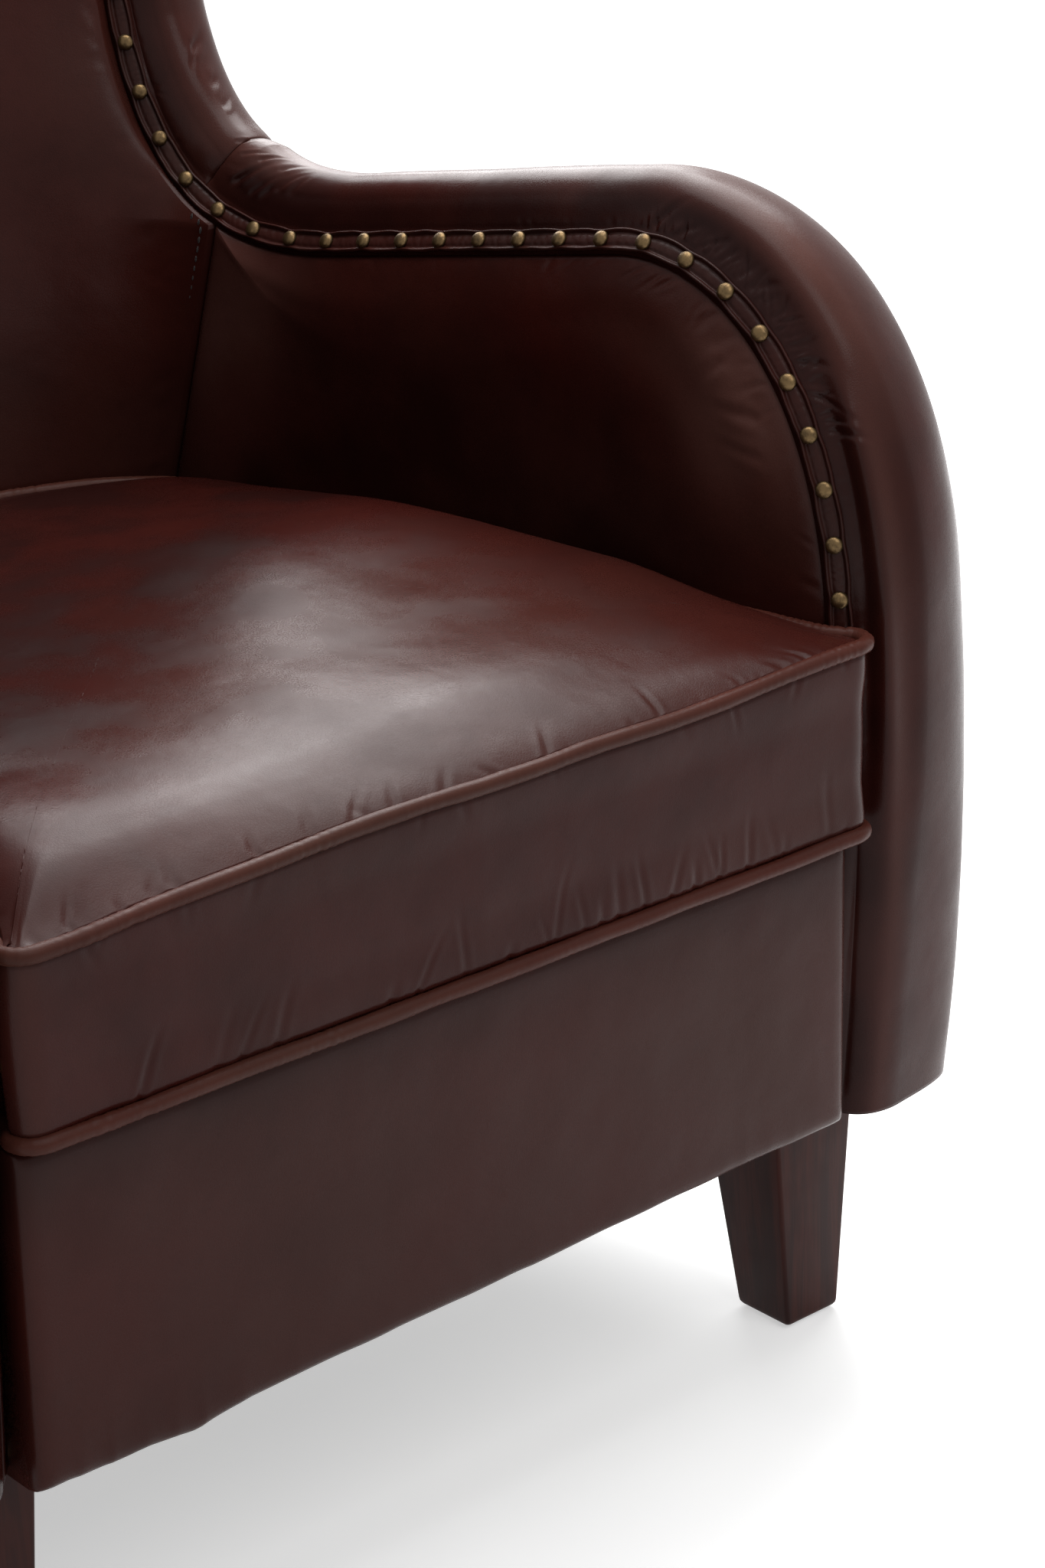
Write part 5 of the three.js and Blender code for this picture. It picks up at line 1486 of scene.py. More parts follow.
@dataclass
class BackRest:
    """The inner back, its stitched seams, the crest and the outside back."""

    shop: Workshop
    seed: int = 41
    lean_start: float = 444.0
    lean: float = 0.182
    top_round: float = 26.0
    scoop: float = 2.6
    pad_rear: float = 58.3
    wrap_reach: float = 44.4
    wrap_depth: float = 44.7
    stitch_pitch: float = 6.5
    stitch_half: float = 2.3
    crest_arch: float = 10.0
    crest_crown: float = 23.0
    crest_peak: float = 45.0
    crest_outer: float = 106.0
    crest_seat: float = 9.0

    def __post_init__(self) -> None:
        """Sets the back's own unevenness."""
        self.noise = Unevenness(self.seed)

    def build(self) -> None:
        """Builds and dresses the back."""
        self.inner_back()
        self.seams()
        self.crest()
        self.crest_trim()
        self.outside()

    def edge_line(self) -> Points:
        """Set and height of the inner back's edge, from the deck to the crest."""
        seam_place = LINE.places(np.array([LINE.seam]))
        corner = (seam_place.at - seam_place.out * PLAN.pad_top)[0]
        heights = np.linspace(PLAN.deck_top + PLAN.gap, corner[1], 70)
        low = points_of(corner[0] + PLAN.seam_run * (corner[1] - heights) + PLAN.gap, heights)
        places = LINE.between(LINE.seam + 4, LINE.start["tail"], 4.0)
        return np.concatenate([low, places.at - places.out * PLAN.pad_top])

    def front_depth(self, edge: Points, share: Values) -> tuple:
        """Depth of the inner back's face.

        Args:
            edge: set and height of the edge, one for each row.
            share: place across, from -1 to 1.

        Returns:
            The depth by row and column, and the edge's depth by row.
        """
        z = edge[:, 1:]
        edge_depth = edge[:, :1] * math.cos(PLAN.turn) + PLAN.flare(z) * math.sin(PLAN.turn)
        top = edge[-1, 1]
        round_share = np.clip((z - top + self.top_round) / self.top_round, 0, 1)
        rounding = self.top_round * (1 - np.sqrt(1 - round_share**2))
        centre = PLAN.back_centre + self.lean * np.maximum(0, z - self.lean_start) + rounding
        near = hump_at(z, z.T, 85.0)
        calm = near @ edge_depth / near.sum(axis=1, keepdims=True)
        calm = calm + (edge_depth - calm) * (1 - ease(np.minimum(z - z[0], top - z), 0, 60))
        share = np.abs(share)
        return centre - (centre - calm) * share**self.scoop - (calm - edge_depth) * share**34, edge_depth[:, 0]

    def inner_back(self) -> None:
        """Builds the inner back pad, scooped between the wings."""
        edge = self.edge_line()
        share = np.sin(np.linspace(-math.pi / 2, math.pi / 2, 151))
        depth, edge_depth = self.front_depth(edge, share)
        z = np.tile(edge[:, 1:], (1, len(share)))
        points = points_of(share * PLAN.half_width(-PLAN.gap, depth, z), depth, z)
        inward = 1 - np.abs(share)
        keep = ease(inward, 0.0, 0.06)
        swell = 2.0 * self.noise.layered(points, 150.0, 2)
        inset = np.tile(inward * 260, (len(edge), 1))
        tucks = Creases.scatter(self.seed, 380, 960, 17.0, (12, 34), (0.3, 1.0), (2.0, 4.0), 0.3).height(z, inset)
        points[..., 1] += keep * (swell - tucks * ease(inset, 0, 5) - 3.0 * ease(inward, 0.0, 0.2))
        rear = PLAN.back_depth(edge[:, 1]) - self.pad_rear
        wrap = edge_depth + self.wrap_depth * math.sin(PLAN.turn) + PLAN.gap
        right = [points_of(PLAN.half_width(self.wrap_reach, y, edge[:, 1]), y, edge[:, 1]) for y in (wrap, rear)]
        left = [p * [-1, 1, 1] for p in right[::-1]]
        ring = np.concatenate([points, *(p[:, None] for p in right + left)], axis=1)
        self.shop.leather("inside_back_leather", ring, "inside_back_pad", 0.75)

    def seams(self) -> None:
        """Builds the row of stitches down each seam between arm and back."""
        edge = self.edge_line()
        low = edge[edge[:, 1] < LINE.places(np.array([LINE.seam])).at[0, 1]]
        lengths = lengths_along(low)
        line = points_along(np.arange(90, lengths[-1] - 4, self.stitch_pitch), lengths, low)
        seats = PLAN.on_side(-1.2, line[:, 0] + 5.5, line[:, 1])
        direction = np.array([0.0, -PLAN.seam_run, 1.0])
        direction /= np.linalg.norm(direction)
        face = np.array([-0.8, -0.6, 0.0])
        span = np.linspace(-self.stitch_half, self.stitch_half, 7)[:, None]
        thick = 0.62 * np.sqrt(1 - (span / (self.stitch_half + 0.15)) ** 2) + 0.05
        middle = direction * span + face * 0.5 * (1 - (span / self.stitch_half) ** 2)
        angles = np.linspace(0, 2 * math.pi, 8, endpoint=False)[:, None]
        ring = np.cos(angles) * face + np.sin(angles) * np.cross(direction, face)
        stitches = seats[:, None, None] + middle[:, None] + thick[:, None] * ring
        for side, mirror in SIDES:
            obj = self.shop.maker.tubes(f"{side}_back_seam_stitches", stitches, mirror)
            self.shop.fit(obj, Slot.THREAD, "frame")

    def crest_rows(self, reach: Values, rise: Values, share: Values) -> Points:
        """Points of what runs along the crest.

        Args:
            reach: distance behind the crest's line, by column or by row and column.
            rise: height over it, by row and column.
            share: place across, from -1 to 1, for each row.

        Returns:
            The points by row and column.
        """
        share = share[:, None]
        depth = PLAN.crest_depth + reach
        half = PLAN.half_width(PLAN.pad_thickness, depth, PLAN.crest_height + rise)
        return points_of(share * half, depth, PLAN.crest_height + rise + self.crest_arch * (1 - share**2))

    def crest(self) -> None:
        """Builds the padded band along the crest."""
        lower, upper = STRIP.band_start(self.crest_seat)
        inner, outer = np.radians(np.linspace(171, 90, 22)), np.radians(np.linspace(86, -8, 22))
        peak = self.crest_peak
        reach = np.concatenate([[lower[0], upper[0]], peak + (peak - upper[0]) * np.cos(inner),
                                peak + (self.crest_outer - peak) * np.cos(outer), [PLAN.panel_outer]])
        dome = self.crest_crown * np.sin(np.concatenate([inner, outer]))
        rise = np.concatenate([[lower[1], upper[1]], dome, [-self.crest_seat]])
        share = np.linspace(-1, 1, 230)
        along, across = np.broadcast_arrays(share[:, None] * 240, np.abs(np.arange(len(reach)) - 2) * 2.2)
        lift = 0.7 * gathers(along + 500, 12.0, self.noise) * np.exp(-across / 14)
        lift += 1.2 * self.noise.layered(points_of(along, across, 0), 80.0, 2)
        lift[:, :3] = 0
        lift[:, -6:] = 0
        self.shop.leather("crest_band_leather", self.crest_rows(reach, rise + lift, share), "crest_band", 0.8)

    def crest_trim(self) -> None:
        """Builds the nailed strip along the crest."""
        half = float(PLAN.half_width(0.0, PLAN.crest_depth, PLAN.crest_height))
        count = round(2 * half / STRIP.nail_pitch)
        share = np.linspace(-1, 1, 500)
        reach, rise = STRIP.surface((share + 1) * half, (share + 1) / 2 * count, STRIP.nail_pitch, self.noise)
        obj = self.shop.maker.skin("crest_trim_strip", self.crest_rows(reach, rise, share))
        subdivide(obj, 1)
        self.shop.fit(obj, Slot.TRIM, "frame", "crest_nail_trim")
        spots = np.linspace(-1, 1, count + 1)[1:-1]
        seats = self.crest_rows(*STRIP.nail_points(len(spots)), spots)[:, 0]
        looks = np.tile([0, *STRIP.off], (len(spots), 1))
        nails = self.shop.maker.beads("crest_nail_heads", STRIP.head(), seats, looks)
        self.shop.fit(nails, Slot.BRASS, "frame")

    def outside(self) -> None:
        """Builds the outside back panel."""
        rim = np.array([0, 0.6, 2, 4, 7, 12])
        heights = np.concatenate([PLAN.hem_height + rim, np.linspace(160, 975, 130),
                                  PLAN.crest_height - PLAN.pad_top - rim[::-1]])
        share = np.sin(np.linspace(-math.pi / 2, math.pi / 2, 121))
        z = np.tile(heights[:, None], (1, len(share)))
        half = PLAN.half_width(PLAN.panel_outer, PLAN.back_depth(z), z)
        edge = np.minimum(np.minimum(z - heights[0], heights[-1] - z), half * (1 - np.abs(share)))
        z = z + self.crest_arch * (1 - share**2) * ease(z, 850, heights[-1])
        rear = PLAN.back_depth(z)
        points = points_of(share * half, rear - rolled(edge, 16, 3.0), z)
        points[..., 1] += 1.2 * ease(edge, 0, 120) + 0.9 * self.noise.layered(points + 500, 130.0, 2) * ease(edge, 6, 60)
        front = [points_of(s * half[:, 0], rear[:, 0] - 10, heights)[:, None] for s in (1, -1)]
        grid = np.concatenate([points, *front], axis=1)
        self.shop.leather("outside_back_leather", grid, "outside_back_panel", 0.3)


# Seat


@dataclass
class SeatCushion:
    """The loose cushion: cover, pipings and zip."""

    shop: Workshop
    seed: int = 17
    bottom: float = 330.0
    lower_piping: float = 335.0
    upper_piping: float = 440.0
    crown: float = 27.0
    swell: float = 12.0
    swelling: float = 2.5
    piping_radius: float = 4.0
    groove: float = 6.08
    groove_share: float = 0.06
    bulge: float = 1.5
    front: float = -14.0
    rear: float = 535.0
    bow: float = 48.0

    def __post_init__(self) -> None:
        """Draws the plan's rim."""
        self.noise = Unevenness(self.seed)
        self.rim = self.draw_rim()
        self.rim_along = lengths_along(self.rim)
        run = np.roll(self.rim, -1, axis=0) - np.roll(self.rim, 1, axis=0)
        run /= np.linalg.norm(run, axis=1)[:, None]
        self.rim_out = points_of(run[:, 1], -run[:, 0])
        front = float(self.rim_along[-1]) / 2
        end = 2 * front - 20
        self.rising_creases = [
            (front + 30, front + 262, 15.0, (16, 58), (0.25, 0.75), (1.4, 2.8), 0.12),
            (front - 230, front + 30, 32.0, (18, 60), (0.25, 0.7), (1.6, 3.2), 0.15, (-3.0, -3.0), 0.25),
            (front + 262, end, 40.0, (14, 40), (0.3, 0.8), (1.8, 3.2), 0.2),
            (20, front - 262, 40.0, (14, 40), (0.3, 0.8), (1.8, 3.2), 0.2),
        ]
        self.falling_creases = Creases.scatter(self.seed + 4, 20, end, 34.0, (10, 30), (0.2, 0.6), (1.6, 3.0), 0.2)
        self.top_creases = Creases.scatter(self.seed + 5, 20, end, 26.0, (10, 32), (0.2, 0.7), (1.8, 3.6), 0.3)

    def side_x(self, depth: Values) -> Values:
        """Half width of the rim at a depth."""
        return PLAN.half_width(-5.0, depth)

    def draw_rim(self, step: float = 1.6) -> Points:
        """Points round the rim at one spacing, starting at the middle of the rear."""
        front_half, rear_half = float(self.side_x(self.front)), float(self.side_x(self.rear))
        turn, ear_end, ear = self.front + 15, self.front + 32, front_half + 5
        middle, bend = (self.front + self.rear) / 2, self.rear - 62
        shoulder = rear_half - 62 * 0.9
        rise = self.bow * (1 - (shoulder / rear_half) ** 2)
        runs = [
            [(0, self.front), (front_half / 2, self.front + 2), (ear - 15, self.front)],
            [(ear - 15, self.front), (ear, self.front), (ear, turn)],
            [(ear, turn), (self.side_x(turn), (turn + ear_end) / 2), (self.side_x(ear_end), ear_end)],
            [(self.side_x(ear_end), ear_end), (self.side_x(middle) - 4, middle), (self.side_x(bend), bend)],
            [(self.side_x(bend), bend), (rear_half, self.rear), (shoulder, self.rear + rise)],
            [(shoulder, self.rear + rise), (shoulder / 2, self.rear + self.bow), (0, self.rear + self.bow)],
        ]
        shares = np.linspace(0, 1, 120)
        right = np.concatenate([bezier(r, shares)[(1 if i else 0):] for i, r in enumerate(runs)])
        whole = np.concatenate([right, right[-2::-1] * [-1, 1]])
        lengths = lengths_along(whole)
        count = round(lengths[-1] / step)
        return points_along((np.arange(count) / count + 0.5) % 1 * lengths[-1], lengths, whole)

    def broad_lift(self, x: Values, y: Values) -> Values:
        """Broad rise and fall of the upper seam over the seat."""
        front = 1 - ease(y, 20, 200)
        behind = (1 - front) * 6.0 * (1 - ease(y, 300, 450))
        return front * (6.5 * ease(x, 120, 275) - 7.0 * ease(-x, 60, 260)) + behind

    def upper_lift(self) -> Values:
        """Rise and fall of the upper seam round the rim, as the stuffing pushes it."""
        return self.broad_lift(*self.rim.T) + 1.1 * self.noise.line(self.rim_along, 70)

    def build(self) -> None:
        """Builds and dresses the cushion."""
        self.cover()
        self.piping("lower", self.lower_piping, 0.0)
        self.piping("upper", self.upper_piping, 1.0)
        self.zip_teeth()

    def cover(self) -> None:
        """Builds the leather cover: underside, boxing and crowned top in one skin."""
        lift = self.upper_lift()
        heart = np.array([0.0, (PLAN.back_centre + self.front) / 2])
        low, high = self.lower_piping, self.upper_piping
        levels = [(150.0, self.bottom), (60.0, self.bottom), (26.0, self.bottom), (10.0, self.bottom), (self.groove, low)]
        rings = [self.inset_ring(inset, z, heart) for inset, z in levels]
        for share in np.linspace(0, 1, 40):
            drawn = sum(max(0, 1 - edge / self.groove_share) ** 2 for edge in (share, 1 - share))
            bulge = self.bulge * math.sin(math.pi * share) - self.groove * drawn
            ring = self.rim + self.rim_out * (bulge + self.boxing_relief(share * (high - low)))[:, None]
            rings.append(points_of(*ring.T, low + (high + lift - low) * share))
        seam_ring = len(rings)
        span = np.linalg.norm(self.rim - heart, axis=1)
        uneven = lift - self.broad_lift(*self.rim.T)
        for share in np.linspace(0, 0.985, 66)[1:] ** 1.5:
            inset = self.groove * 0.4 + share * span
            ring = self.inset_ring(inset, high, heart)
            near, rise = self.crown_rise(ring[:, 0], ring[:, 1])
            broad = self.broad_lift(ring[:, 0], ring[:, 1])
            rise += np.maximum(broad, 0) * (1 - ease(near, 20, 150)) + np.minimum(broad, 0) * (1 - ease(near, 4, 40))
            ring[:, 2] += rise
            ring[:, 2] += uneven * (1 - ease(inset, 2, 30)) + self.top_relief(ring, inset)
            rings.append(ring)
        grid = np.array(rings)
        grid += self.shop.maker.swollen(grid, self.swelling) * self.free_share(grid, len(levels), seam_ring)[..., None]
        obj = self.shop.leather("seat_cushion_leather", grid, "seat_cushion_cover", 0.7, body="cushion")
        light_and_tone_masks(obj, *self.worn(grid, seam_ring))

    def free_share(self, grid: Points, lower: int, upper: int) -> Values:
        """How freely each point may swell: not at the seams, the underside, or beside the arms and the back.

        Args:
            grid: the cover's points by ring.
            lower: number of the first ring of the boxing.
            upper: number of the first ring of the top.

        Returns:
            A share from 0 to 1 for each point.
        """
        x, y, z = grid[..., 0], grid[..., 1], grid[..., 2]
        ring = np.arange(len(grid))[:, None]
        half = self.side_x(y) + 4
        near = np.min([y - self.front, self.rear - y, half - x, half + x], axis=0)
        facing = 1 - ease(y, self.front, self.front + 25)
        seamed = np.minimum(z - self.lower_piping, self.upper_piping - z)
        return np.where(ring > upper, ease(near, 8, 60), np.where(ring >= lower, facing * ease(seamed, 6, 34), 0.0))

    def crown_rise(self, x: Values, y: Values) -> tuple:
        """Rise of the crowned top: steep at the sides, gentle at the rear and by the right front corner.

        Args:
            x: place across the seat.
            y: place from the front.

        Returns:
            Distance from the nearest seam and rise over it.
        """
        half = self.side_x(y) + 4
        rear = self.rear + self.bow * (1 - (x / half) ** 2)
        edges = [np.maximum(d, 0.4) for d in (y - self.front, rear - y, half - x, half + x)]
        slow = 1 - ease(y, 25, 150)
        runs = [38.0, 80.0, 13.0 + 22.0 * slow, 13.0 + 1.5 * slow]
        rise = self.crown * np.prod([1 - np.exp(-d / run) for d, run in zip(edges, runs)], axis=0)
        swell = self.swell * np.exp(-((x - 95) ** 2 + (y - 265) ** 2) / 115.0**2)
        return np.min(edges, axis=0), rise + swell * ease(np.min(edges, axis=0), 0, 45)

    def inset_ring(self, inset: Values, z: float, heart: Points) -> Points:
        """The rim at a height, moved in by an inset: square to it at first and toward the heart beyond."""
        square = np.minimum(inset, 8.0)
        moved = self.rim - self.rim_out * np.reshape(square, (-1, 1))
        share = np.minimum((inset - square) / np.linalg.norm(moved - heart, axis=1), 0.985)
        return points_of(*(moved + (heart - moved) * share[:, None]).T, z)

    def boxing_relief(self, height: float) -> Values:
        """Creases of the boxing at a height over the lower seam."""
        along = self.rim_along
        below = self.upper_piping - self.lower_piping - height
        near_seam = math.exp(-height / 16) + math.exp(-below / 14)
        folds = 0.5 * gathers(along + 0.25 * height, 33.0, self.noise) * near_seam
        folds *= 0.4 + 0.6 * self.noise.line(along + 60, 140)
        rising = Creases.relief(self.seed, along, np.full_like(along, height), self.rising_creases)
        falling = self.falling_creases.height(along, np.full_like(along, below))
        return folds + rising + falling + 0.9 * self.noise.layered(points_of(along, height, 0), 95.0, 2)

    def top_relief(self, ring: Points, inset: Values) -> Values:
        """Creases of the top near the seam, and its soft unevenness."""
        noise = self.noise
        folds = 0.6 * gathers(self.rim_along + 20, 27.0, noise) * np.exp(-inset / 18)
        folds *= 0.45 + 0.55 * noise.line(self.rim_along, 110)
        tucks = self.top_creases.height(self.rim_along, inset) * (inset < 60)
        return folds + tucks + 1.5 * noise.layered(ring * [1, 1, 0], 130.0, 2) * np.minimum(1, inset / 40)

    def worn(self, grid: Points, upper: int) -> tuple:
        """Painted highlight, reddening and painted shade of each point of the cover.

        Args:
            grid: the cover's points by ring.
            upper: number of the first ring of the top.

        Returns:
            The three values of each point.
        """
        x, y, z = grid[..., 0], grid[..., 1], grid[..., 2]
        top = (np.arange(len(grid)) > upper)[:, None]
        # Painted shade over the top's left and rear, painted redder there as well; the boxing and underside are
        # painted evenly a little darker.
        shaded = ease(1.2 * y - 0.7 * x, 160, 310)
        far_right = hump_at(x, 215, 60) * hump_at(y, 250, 120)
        front = hump_at(y, self.front, 24)
        # Painted highlights on the boxing's front, and a faint one on the top's middle.
        boxing_highlights = 0.34 * hump_at(x, 180, 70) * hump_at(z, 352, 20) + 0.4 * hump_at(x, -277, 9) + 0.16 * hump_at(x, 250, 30)
        rubbed = np.where(top, 0.10 * hump_at(x, 70, 110) * hump_at(y, 110, 90), front * boxing_highlights)
        patches = 0.85 * hump_at(x, -235, 42) + 0.6 * hump_at(x, -90, 60) * hump_at(z, 385, 30)
        patches += 0.55 * hump_at(x, 20, 55) * hump_at(z, 398, 26) + 0.3 * hump_at(x, 190, 50) * hump_at(z, 400, 24)
        reddened = np.where(top, 0.75 * shaded + 0.5 * far_right, front * (0.35 + patches))
        return rubbed, reddened, np.where(top, 0.85 * shaded, 0.2)

    def piping(self, which: str, height: float, gathered: float) -> None:
        """Builds one piping round the rim.

        Args:
            which: upper or lower.
            height: its height over the floor.
            gathered: how strongly it is gathered at the right front corner.
        """
        lift = self.upper_lift() if which == "upper" else self.noise.line(self.rim_along + 77, 60)
        line = self.rim + self.rim_out * (PLAN.gap + 0.5 * self.noise.line(self.rim_along + 10, 35))[:, None]
        corner = hump_at(np.hypot(self.rim[:, 0] - 275, self.rim[:, 1]), 0, 60)
        radius = self.piping_radius + 0.5 + 0.2 * self.noise.line(self.rim_along, 14)
        spread = np.clip(0.5 + 1.2 * self.noise.line(self.rim_along + 31, 60), 0, 1)
        radius = radius + (0.16 + 0.26 * spread + 0.4 * corner * gathered) * gathers(self.rim_along, 4.6, self.noise)
        angles = np.linspace(0, 2 * math.pi, 14, endpoint=False)
        across = radius[:, None] * np.cos(angles)
        grid = points_of(line[:, :1] + self.rim_out[:, :1] * across, line[:, 1:] + self.rim_out[:, 1:] * across,
                         (height + lift)[:, None] + radius[:, None] * np.sin(angles))
        obj = self.shop.maker.skin(f"cushion_{which}_piping_cord", grid, loop=True)
        self.shop.fit(obj, Slot.PIPING, "cushion", f"cushion_{which}_piping")

    def zip_teeth(self) -> None:
        """Builds the zip's teeth over its tape in the rear boxing."""
        low, high = (Vector(c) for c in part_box("seat_cushion_zip"))
        spots = np.arange(-146, 146, 2.4)
        middle = (low.z + high.z) / 2 / MM
        rear = self.rim[(np.abs(self.rim[:, 0]) < 160) & (self.rim[:, 1] > 300)]
        xs, ys = rear[np.argsort(rear[:, 0])].T
        beside = np.where(np.arange(len(spots)) % 2, 0.9, -0.9)
        seats = points_of(spots, np.interp(spots, xs, ys) + 0.6, middle + beside)
        profile = np.array([[1.0, -1.0], [1.0, 0.3], [0.7, 0.8], [0.2, 0.9]])
        looks = np.tile([0.0, 1.0, 0.0], (len(spots), 1))
        obj = self.shop.maker.beads("seat_cushion_zip_teeth", profile, seats, looks, sides=6)
        self.shop.fit(obj, Slot.BRASS, "cushion")


@dataclass
class FrontBorder:
    """The padded border under the cushion."""

    shop: Workshop
    seed: int = 29
    low: float = 142.0
    high: float = 326.0
    thickness: float = 36.0
    round: float = 9.0

    def build(self) -> None:
        """Builds and dresses the border."""
        noise = Unevenness(self.seed)
        half = float(PLAN.half_width(0.0, 0.0)) - PLAN.gap
        right = half - np.array([0.0, 0.5, 1.6, 3.4, 6.0, 9.0, 13.0])
        x = np.concatenate([right, np.linspace(half - 17, 17 - half, 220), -right[::-1]])[:, None]
        low = np.array([0, 0.004, 0.012, 0.026, 0.05, 0.08])
        share = np.concatenate([low, np.linspace(0.11, 0.89, 50), 1 - low[::-1]])
        tall = self.high - self.low
        end, edge = half - np.abs(x), np.minimum(share, 1 - share) * tall
        depths = rolled(end, 12, self.round), rolled(edge, 12, self.round)
        depth = np.maximum(*depths) + 0.35 * np.minimum(*depths)
        hem = self.hem(x, noise)
        z = self.low + hem * (1 - ease(share, 0.0, 0.35)) + tall * share
        points = points_of(x, depth, z)
        inset = np.minimum(edge, end)
        pull = 0.9 * gathers(x, 29.0, noise) * np.exp(-edge / 13) * (share < 0.5) * ease(edge, 0, 5)
        points[..., 1] += 1.1 * noise.layered(points * [1, 0, 1], 95.0, 3) * ease(inset, 2, 30)
        points[..., 1] += pull * (0.25 + 0.75 * ease(-x, 60, 240)) - 1.2 * ease(inset, 0, 60)
        behind = [points_of(x, self.thickness - PLAN.gap, top) for top in (self.high, self.low + hem)]
        grid = np.concatenate([points, *behind], axis=1)
        obj = self.shop.leather("front_border_leather", grid, "front_border", 0.7)
        across, height = grid[..., 0], grid[..., 2]
        # Painted highlight, brighter toward the right, lower down and at the right end; painted shade along the top
        # under the cushion.
        rubbed = 0.10 + 0.12 * ease(across, -150, 200) * (1 - ease(height, 240, 320)) + 0.15 * hump_at(across, 276, 8)
        reddened = 0.25 * hump_at(across, 262, 16) + 0.2 * hump_at(across, -200, 60)
        light_and_tone_masks(obj, rubbed, reddened, 0.35 * ease(height, 262, 322))

    def hem(self, x: Values, noise: Unevenness) -> Values:
        """Rise and fall of the border's lower edge."""
        spots = [-285, -255, -215, -186, -150, -100, 0, 86, 188, 281]
        wave = np.interp(x, spots, [-1.5, -3.5, -3.5, -6.0, -1.2, 0, 1.0, 3.5, 5.5, 6.0])
        return wave + 0.5 * noise.line(x, 24) + ease(-x, 140, 200) * 0.8 * noise.line(x + 50, 15)


# Legs and underside


@dataclass
class Leg:
    """A square tapered leg."""

    shop: Workshop
    node: str
    top: tuple
    foot: tuple
    mirror: int
    top_width: float = 64.0
    foot_width: float = 43.0
    rounding: float = 2.6
    low: float = 2.0
    eased: float = 6.0
    high: float = 144.7

    def build(self) -> None:
        """Builds the leg with eased edges."""
        foot, top = self.foot_width / 2, self.top_width / 2
        rows = [(self.low, foot - 3.0), (2.6, foot - 1.4), (4.0, foot - 0.4), (self.eased, foot)]
        rows += [(z, np.interp(z, [self.eased, self.high], [foot, top])) for z in np.linspace(12, self.high, 40)]
        grid = []
        for z, half in rows:
            share = (z - self.low) / (self.high - self.low)
            centre = np.array(self.foot) * (1 - share) + np.array(self.top) * share
            grid.append(self.ring(centre, half, z))
        obj = self.shop.maker.skin(f"{self.node}_turned_out", np.array(grid), self.mirror)
        self.shop.fit(obj, Slot.LEG, "frame", self.node)

    def ring(self, centre: Points, half: float, z: float) -> Points:
        """Square with eased corners round a centre."""
        points = []
        for quarter, corner in enumerate(((1, 1), (-1, 1), (-1, -1), (1, -1))):
            angles = math.pi / 2 * quarter + np.linspace(0, math.pi / 2, 6)
            x, y = centre + np.array(corner) * (half - self.rounding)
            points.append(points_of(x + self.rounding * np.cos(angles), y + self.rounding * np.sin(angles), z))
        return np.concatenate(points)


class Inside:
    """The solids that stay as they are: frame, springs, cloths, foam and glides."""

    FINISH = {
        Slot.FRAME: ("front_arm_post", "arm_rail", "wing_frame", "side_rail", "back_post", "corner_block", "seat_rail",
                     "back_rail"),
        Slot.STEEL: ("seat_spring", "leg_bolt"),
        Slot.CLOTH: ("dust_cover", "spring_cover", "seat_deck", "back_webbing"),
        Slot.FOAM: ("cushion_foam",),
        Slot.PLASTIC: ("glide",),
        Slot.ZIP: ("cushion_zip",),
    }

    def __init__(self, shop: Workshop) -> None:
        """Keeps the workshop."""
        self.shop = shop

    def dress(self) -> None:
        """Gives each kept solid its finish."""
        for name, obj in self.shop.nodes.items():
            if obj.hide_render:
                continue
            found = [slot for slot, words in self.FINISH.items() if any(word in name for word in words)]
            if found:
                self.shop.finishes.dress(obj, found[0])
                LOG.info("%s: kept, %s", name, found[0].value)


# Studio


def seen_as_white(bench: Bench) -> Socket:
    """Share of the rays that see the surroundings white: all but those that light the chair softly."""
    path = bench.lay("LightPath").outputs
    shown = bench.sum("ADD", path["Is Camera Ray"], path["Is Glossy Ray"])
    return bench.sum("ADD", shown, path["Is Transmission Ray"], True)


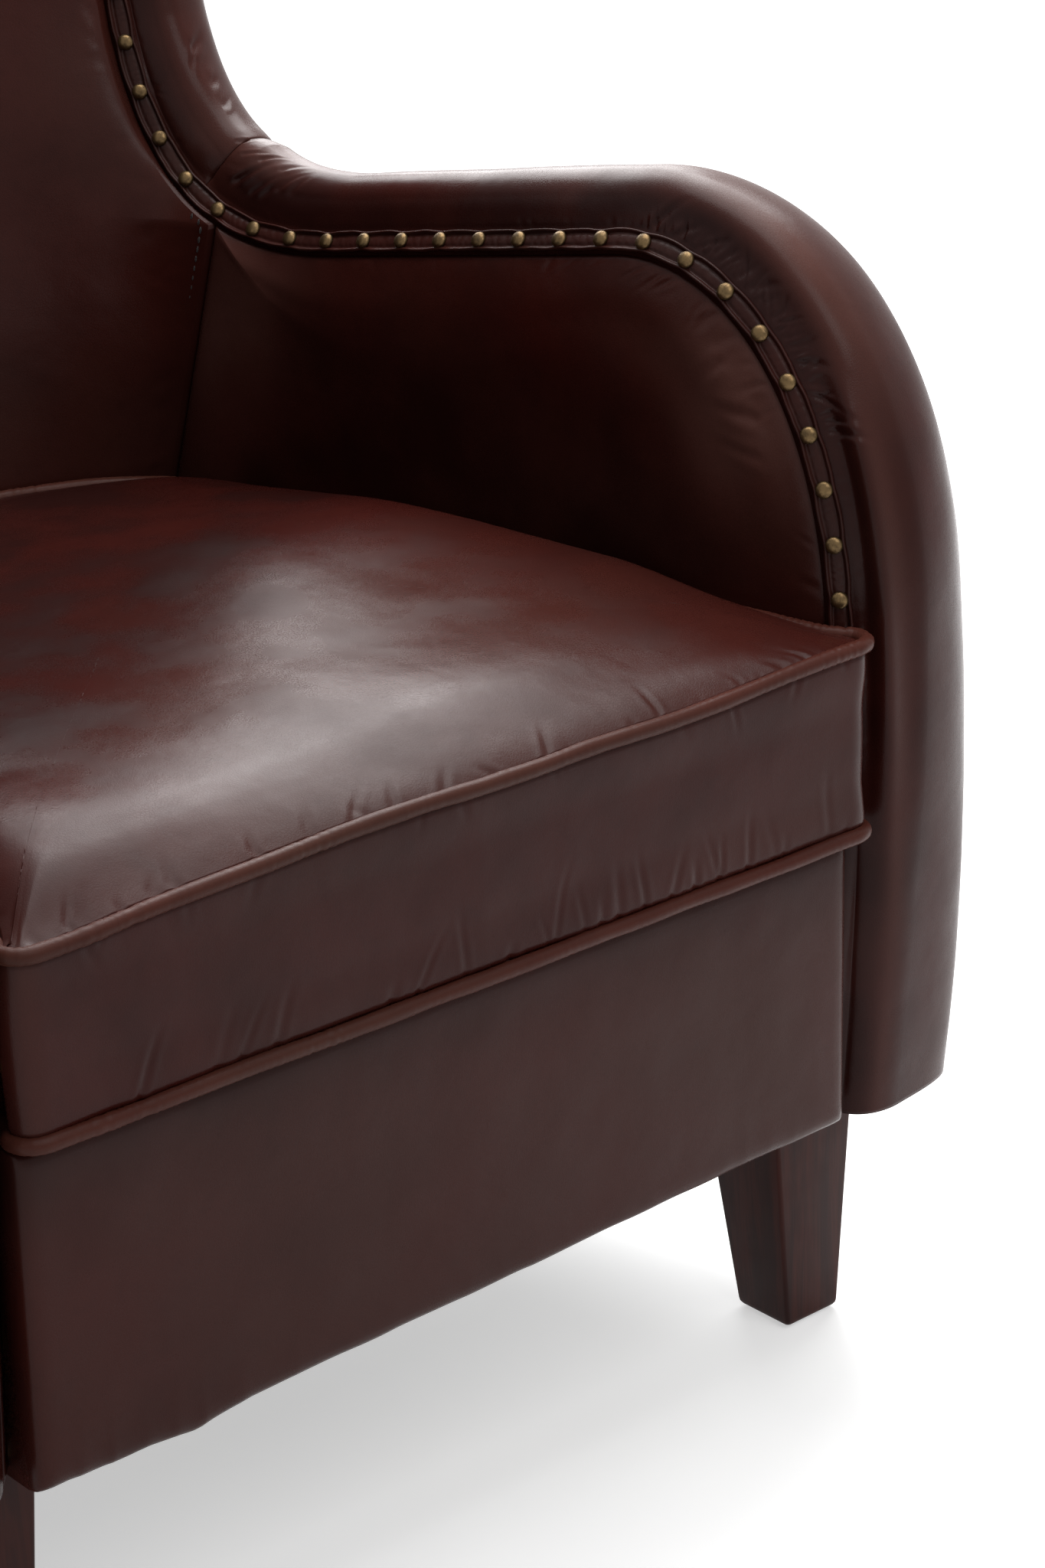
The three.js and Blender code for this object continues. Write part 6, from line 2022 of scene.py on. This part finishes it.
@dataclass
class Studio:
    """Floor, world, lights and the camera."""

    depth_shift: float
    focal: float = 85.07
    azimuth: float = -40.757
    elevation: float = 21.538
    roll: float = -1.353
    spot: tuple = (-1110.8, -1333.4, 1121.1)
    surroundings: float = 0.24

    def build(self) -> None:
        """Sets up the whole studio."""
        scene = bpy.context.scene
        scene.view_settings.view_transform = "Standard"
        self.world()
        self.floor()
        self.lamp("top_softbox", (0.45, 0.1, 2.95), (0.0, -0.1, 0.45), 2.0, 2.0, 70.0)
        self.lamp("tall_softbox", (1.56, 1.47, 1.92), (0.05, -0.24, 0.47), 0.78, 2.3, 31.0)
        self.lamp("right_softbox", (1.8, 0.75, 2.5), (0.3, 0.0, 0.6), 1.4, 1.4, 50.0)
        self.lamp("back_softbox", (0.75, 1.75, 2.0), (0.0, -0.1, 0.5), 1.1, 1.1, 34.0)
        self.lamp("front_softbox", (0.1, -2.3, 2.8), (0.0, -0.1, 0.4), 1.6, 1.6, 26.0)
        self.camera()

    def world(self) -> None:
        """Soft even surroundings that show white to the camera."""
        world = bpy.data.worlds.new("studio")
        bpy.context.scene.world = world
        world.use_nodes = True
        bench = Bench(world.node_tree)
        world.node_tree.nodes.clear()
        strength = bench.span(seen_as_white(bench), 0.0, 1.0, self.surroundings, 1.0)
        back = bench.lay("Background", {"Color": (1, 1, 1, 1), "Strength": strength})
        bench.lay("OutputWorld", {0: back.outputs[0]})

    def floor(self) -> None:
        """Plain pale floor that keeps the chair's shadow."""
        data = bpy.data.meshes.new("floor")
        data.from_pydata([(-9, -9, 0), (9, -9, 0), (9, 9, 0), (-9, 9, 0)], [], [(0, 1, 2, 3)])
        obj = bpy.data.objects.new("floor", data)
        bpy.context.scene.collection.objects.link(obj)
        material = bpy.data.materials.new("pale_floor")
        material.use_nodes = True
        bench = Bench(material.node_tree)
        bench.tree.nodes.clear()
        place = bench.lay("TexCoord").outputs["Object"]
        cloud = bench.span(bench.noise(place, 3.0, 3.0), 0.3, 0.7, 0.70, 0.74)
        colour = bench.lay("CombineColor", {0: cloud, 1: cloud, 2: cloud}).outputs[0]
        matt = bench.lay("BsdfDiffuse", {"Color": colour})
        away = bench.lay("VectorMath", {0: place}, operation="LENGTH").outputs["Value"]
        strength = bench.sum("MULTIPLY", seen_as_white(bench), bench.span(away, 0.5, 2.2, 0.5, 1.0))
        glow = bench.lay("Emission", {"Color": (1, 1, 1, 1), "Strength": strength})
        both = bench.lay("AddShader", {0: matt.outputs[0], 1: glow.outputs[0]})
        bench.lay("OutputMaterial", {0: both.outputs[0]})
        data.materials.append(material)

    def lamp(self, name: str, spot: tuple, aim: tuple, width: float, height: float, power: float) -> None:
        """Adds one soft lamp.

        Args:
            name: its name.
            spot: where it stands.
            aim: what it points at.
            width: its width.
            height: its height.
            power: its power in watts.
        """
        data = bpy.data.lights.new(name, "AREA")
        data.shape = "RECTANGLE"
        data.size, data.size_y, data.energy = width, height, power
        obj = bpy.data.objects.new(name, data)
        obj.location = spot
        obj.rotation_euler = (Vector(aim) - Vector(spot)).to_track_quat("-Z", "Y").to_euler()
        bpy.context.scene.collection.objects.link(obj)

    def camera(self) -> None:
        """Puts the camera where the photograph was taken from."""
        a, e, r = (math.radians(v) for v in (self.azimuth, self.elevation, self.roll))
        back = Vector((math.sin(a) * math.cos(e), -math.cos(a) * math.cos(e), math.sin(e)))
        right = Vector((math.cos(a), math.sin(a), 0))
        up = back.cross(right)
        turned = right * math.cos(r) + up * math.sin(r)
        upright = up * math.cos(r) - right * math.sin(r)
        data = bpy.data.cameras.new("camera")
        data.lens = self.focal
        data.sensor_width = 36.0
        data.clip_end = 40.0
        obj = bpy.data.objects.new("camera", data)
        spot = Vector((self.spot[0], self.spot[1] + self.depth_shift, self.spot[2])) * MM
        basis = Matrix((turned, upright, back)).transposed().to_4x4()
        obj.matrix_world = Matrix.Translation(spot) @ basis
        bpy.context.scene.collection.objects.link(obj)
        bpy.context.scene.camera = obj


def main() -> None:
    """Builds the chair over its frame."""
    logging.basicConfig(level=logging.INFO, format="%(name)s: %(message)s")
    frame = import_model()
    depth_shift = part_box("front_border")[0].y / MM
    Studio(depth_shift).build()
    shop = Workshop(Maker(depth_shift), Finishes(), frame["nodes"])
    ArmAndWing(shop, "right", 1, 3).build()
    ArmAndWing(shop, "left", -1, 5).build()
    BackRest(shop).build()
    FrontBorder(shop).build()
    SeatCushion(shop).build()
    for side, mirror in SIDES:
        Leg(shop, f"front_{side}_leg", (291.0, 69.0), (291.0, 58.5), mirror).build()
        Leg(shop, f"rear_{side}_leg", (222.0, 591.0), (222.0, 629.0), mirror).build()
    Inside(shop).dress()


if __name__ == "__main__":
    main()
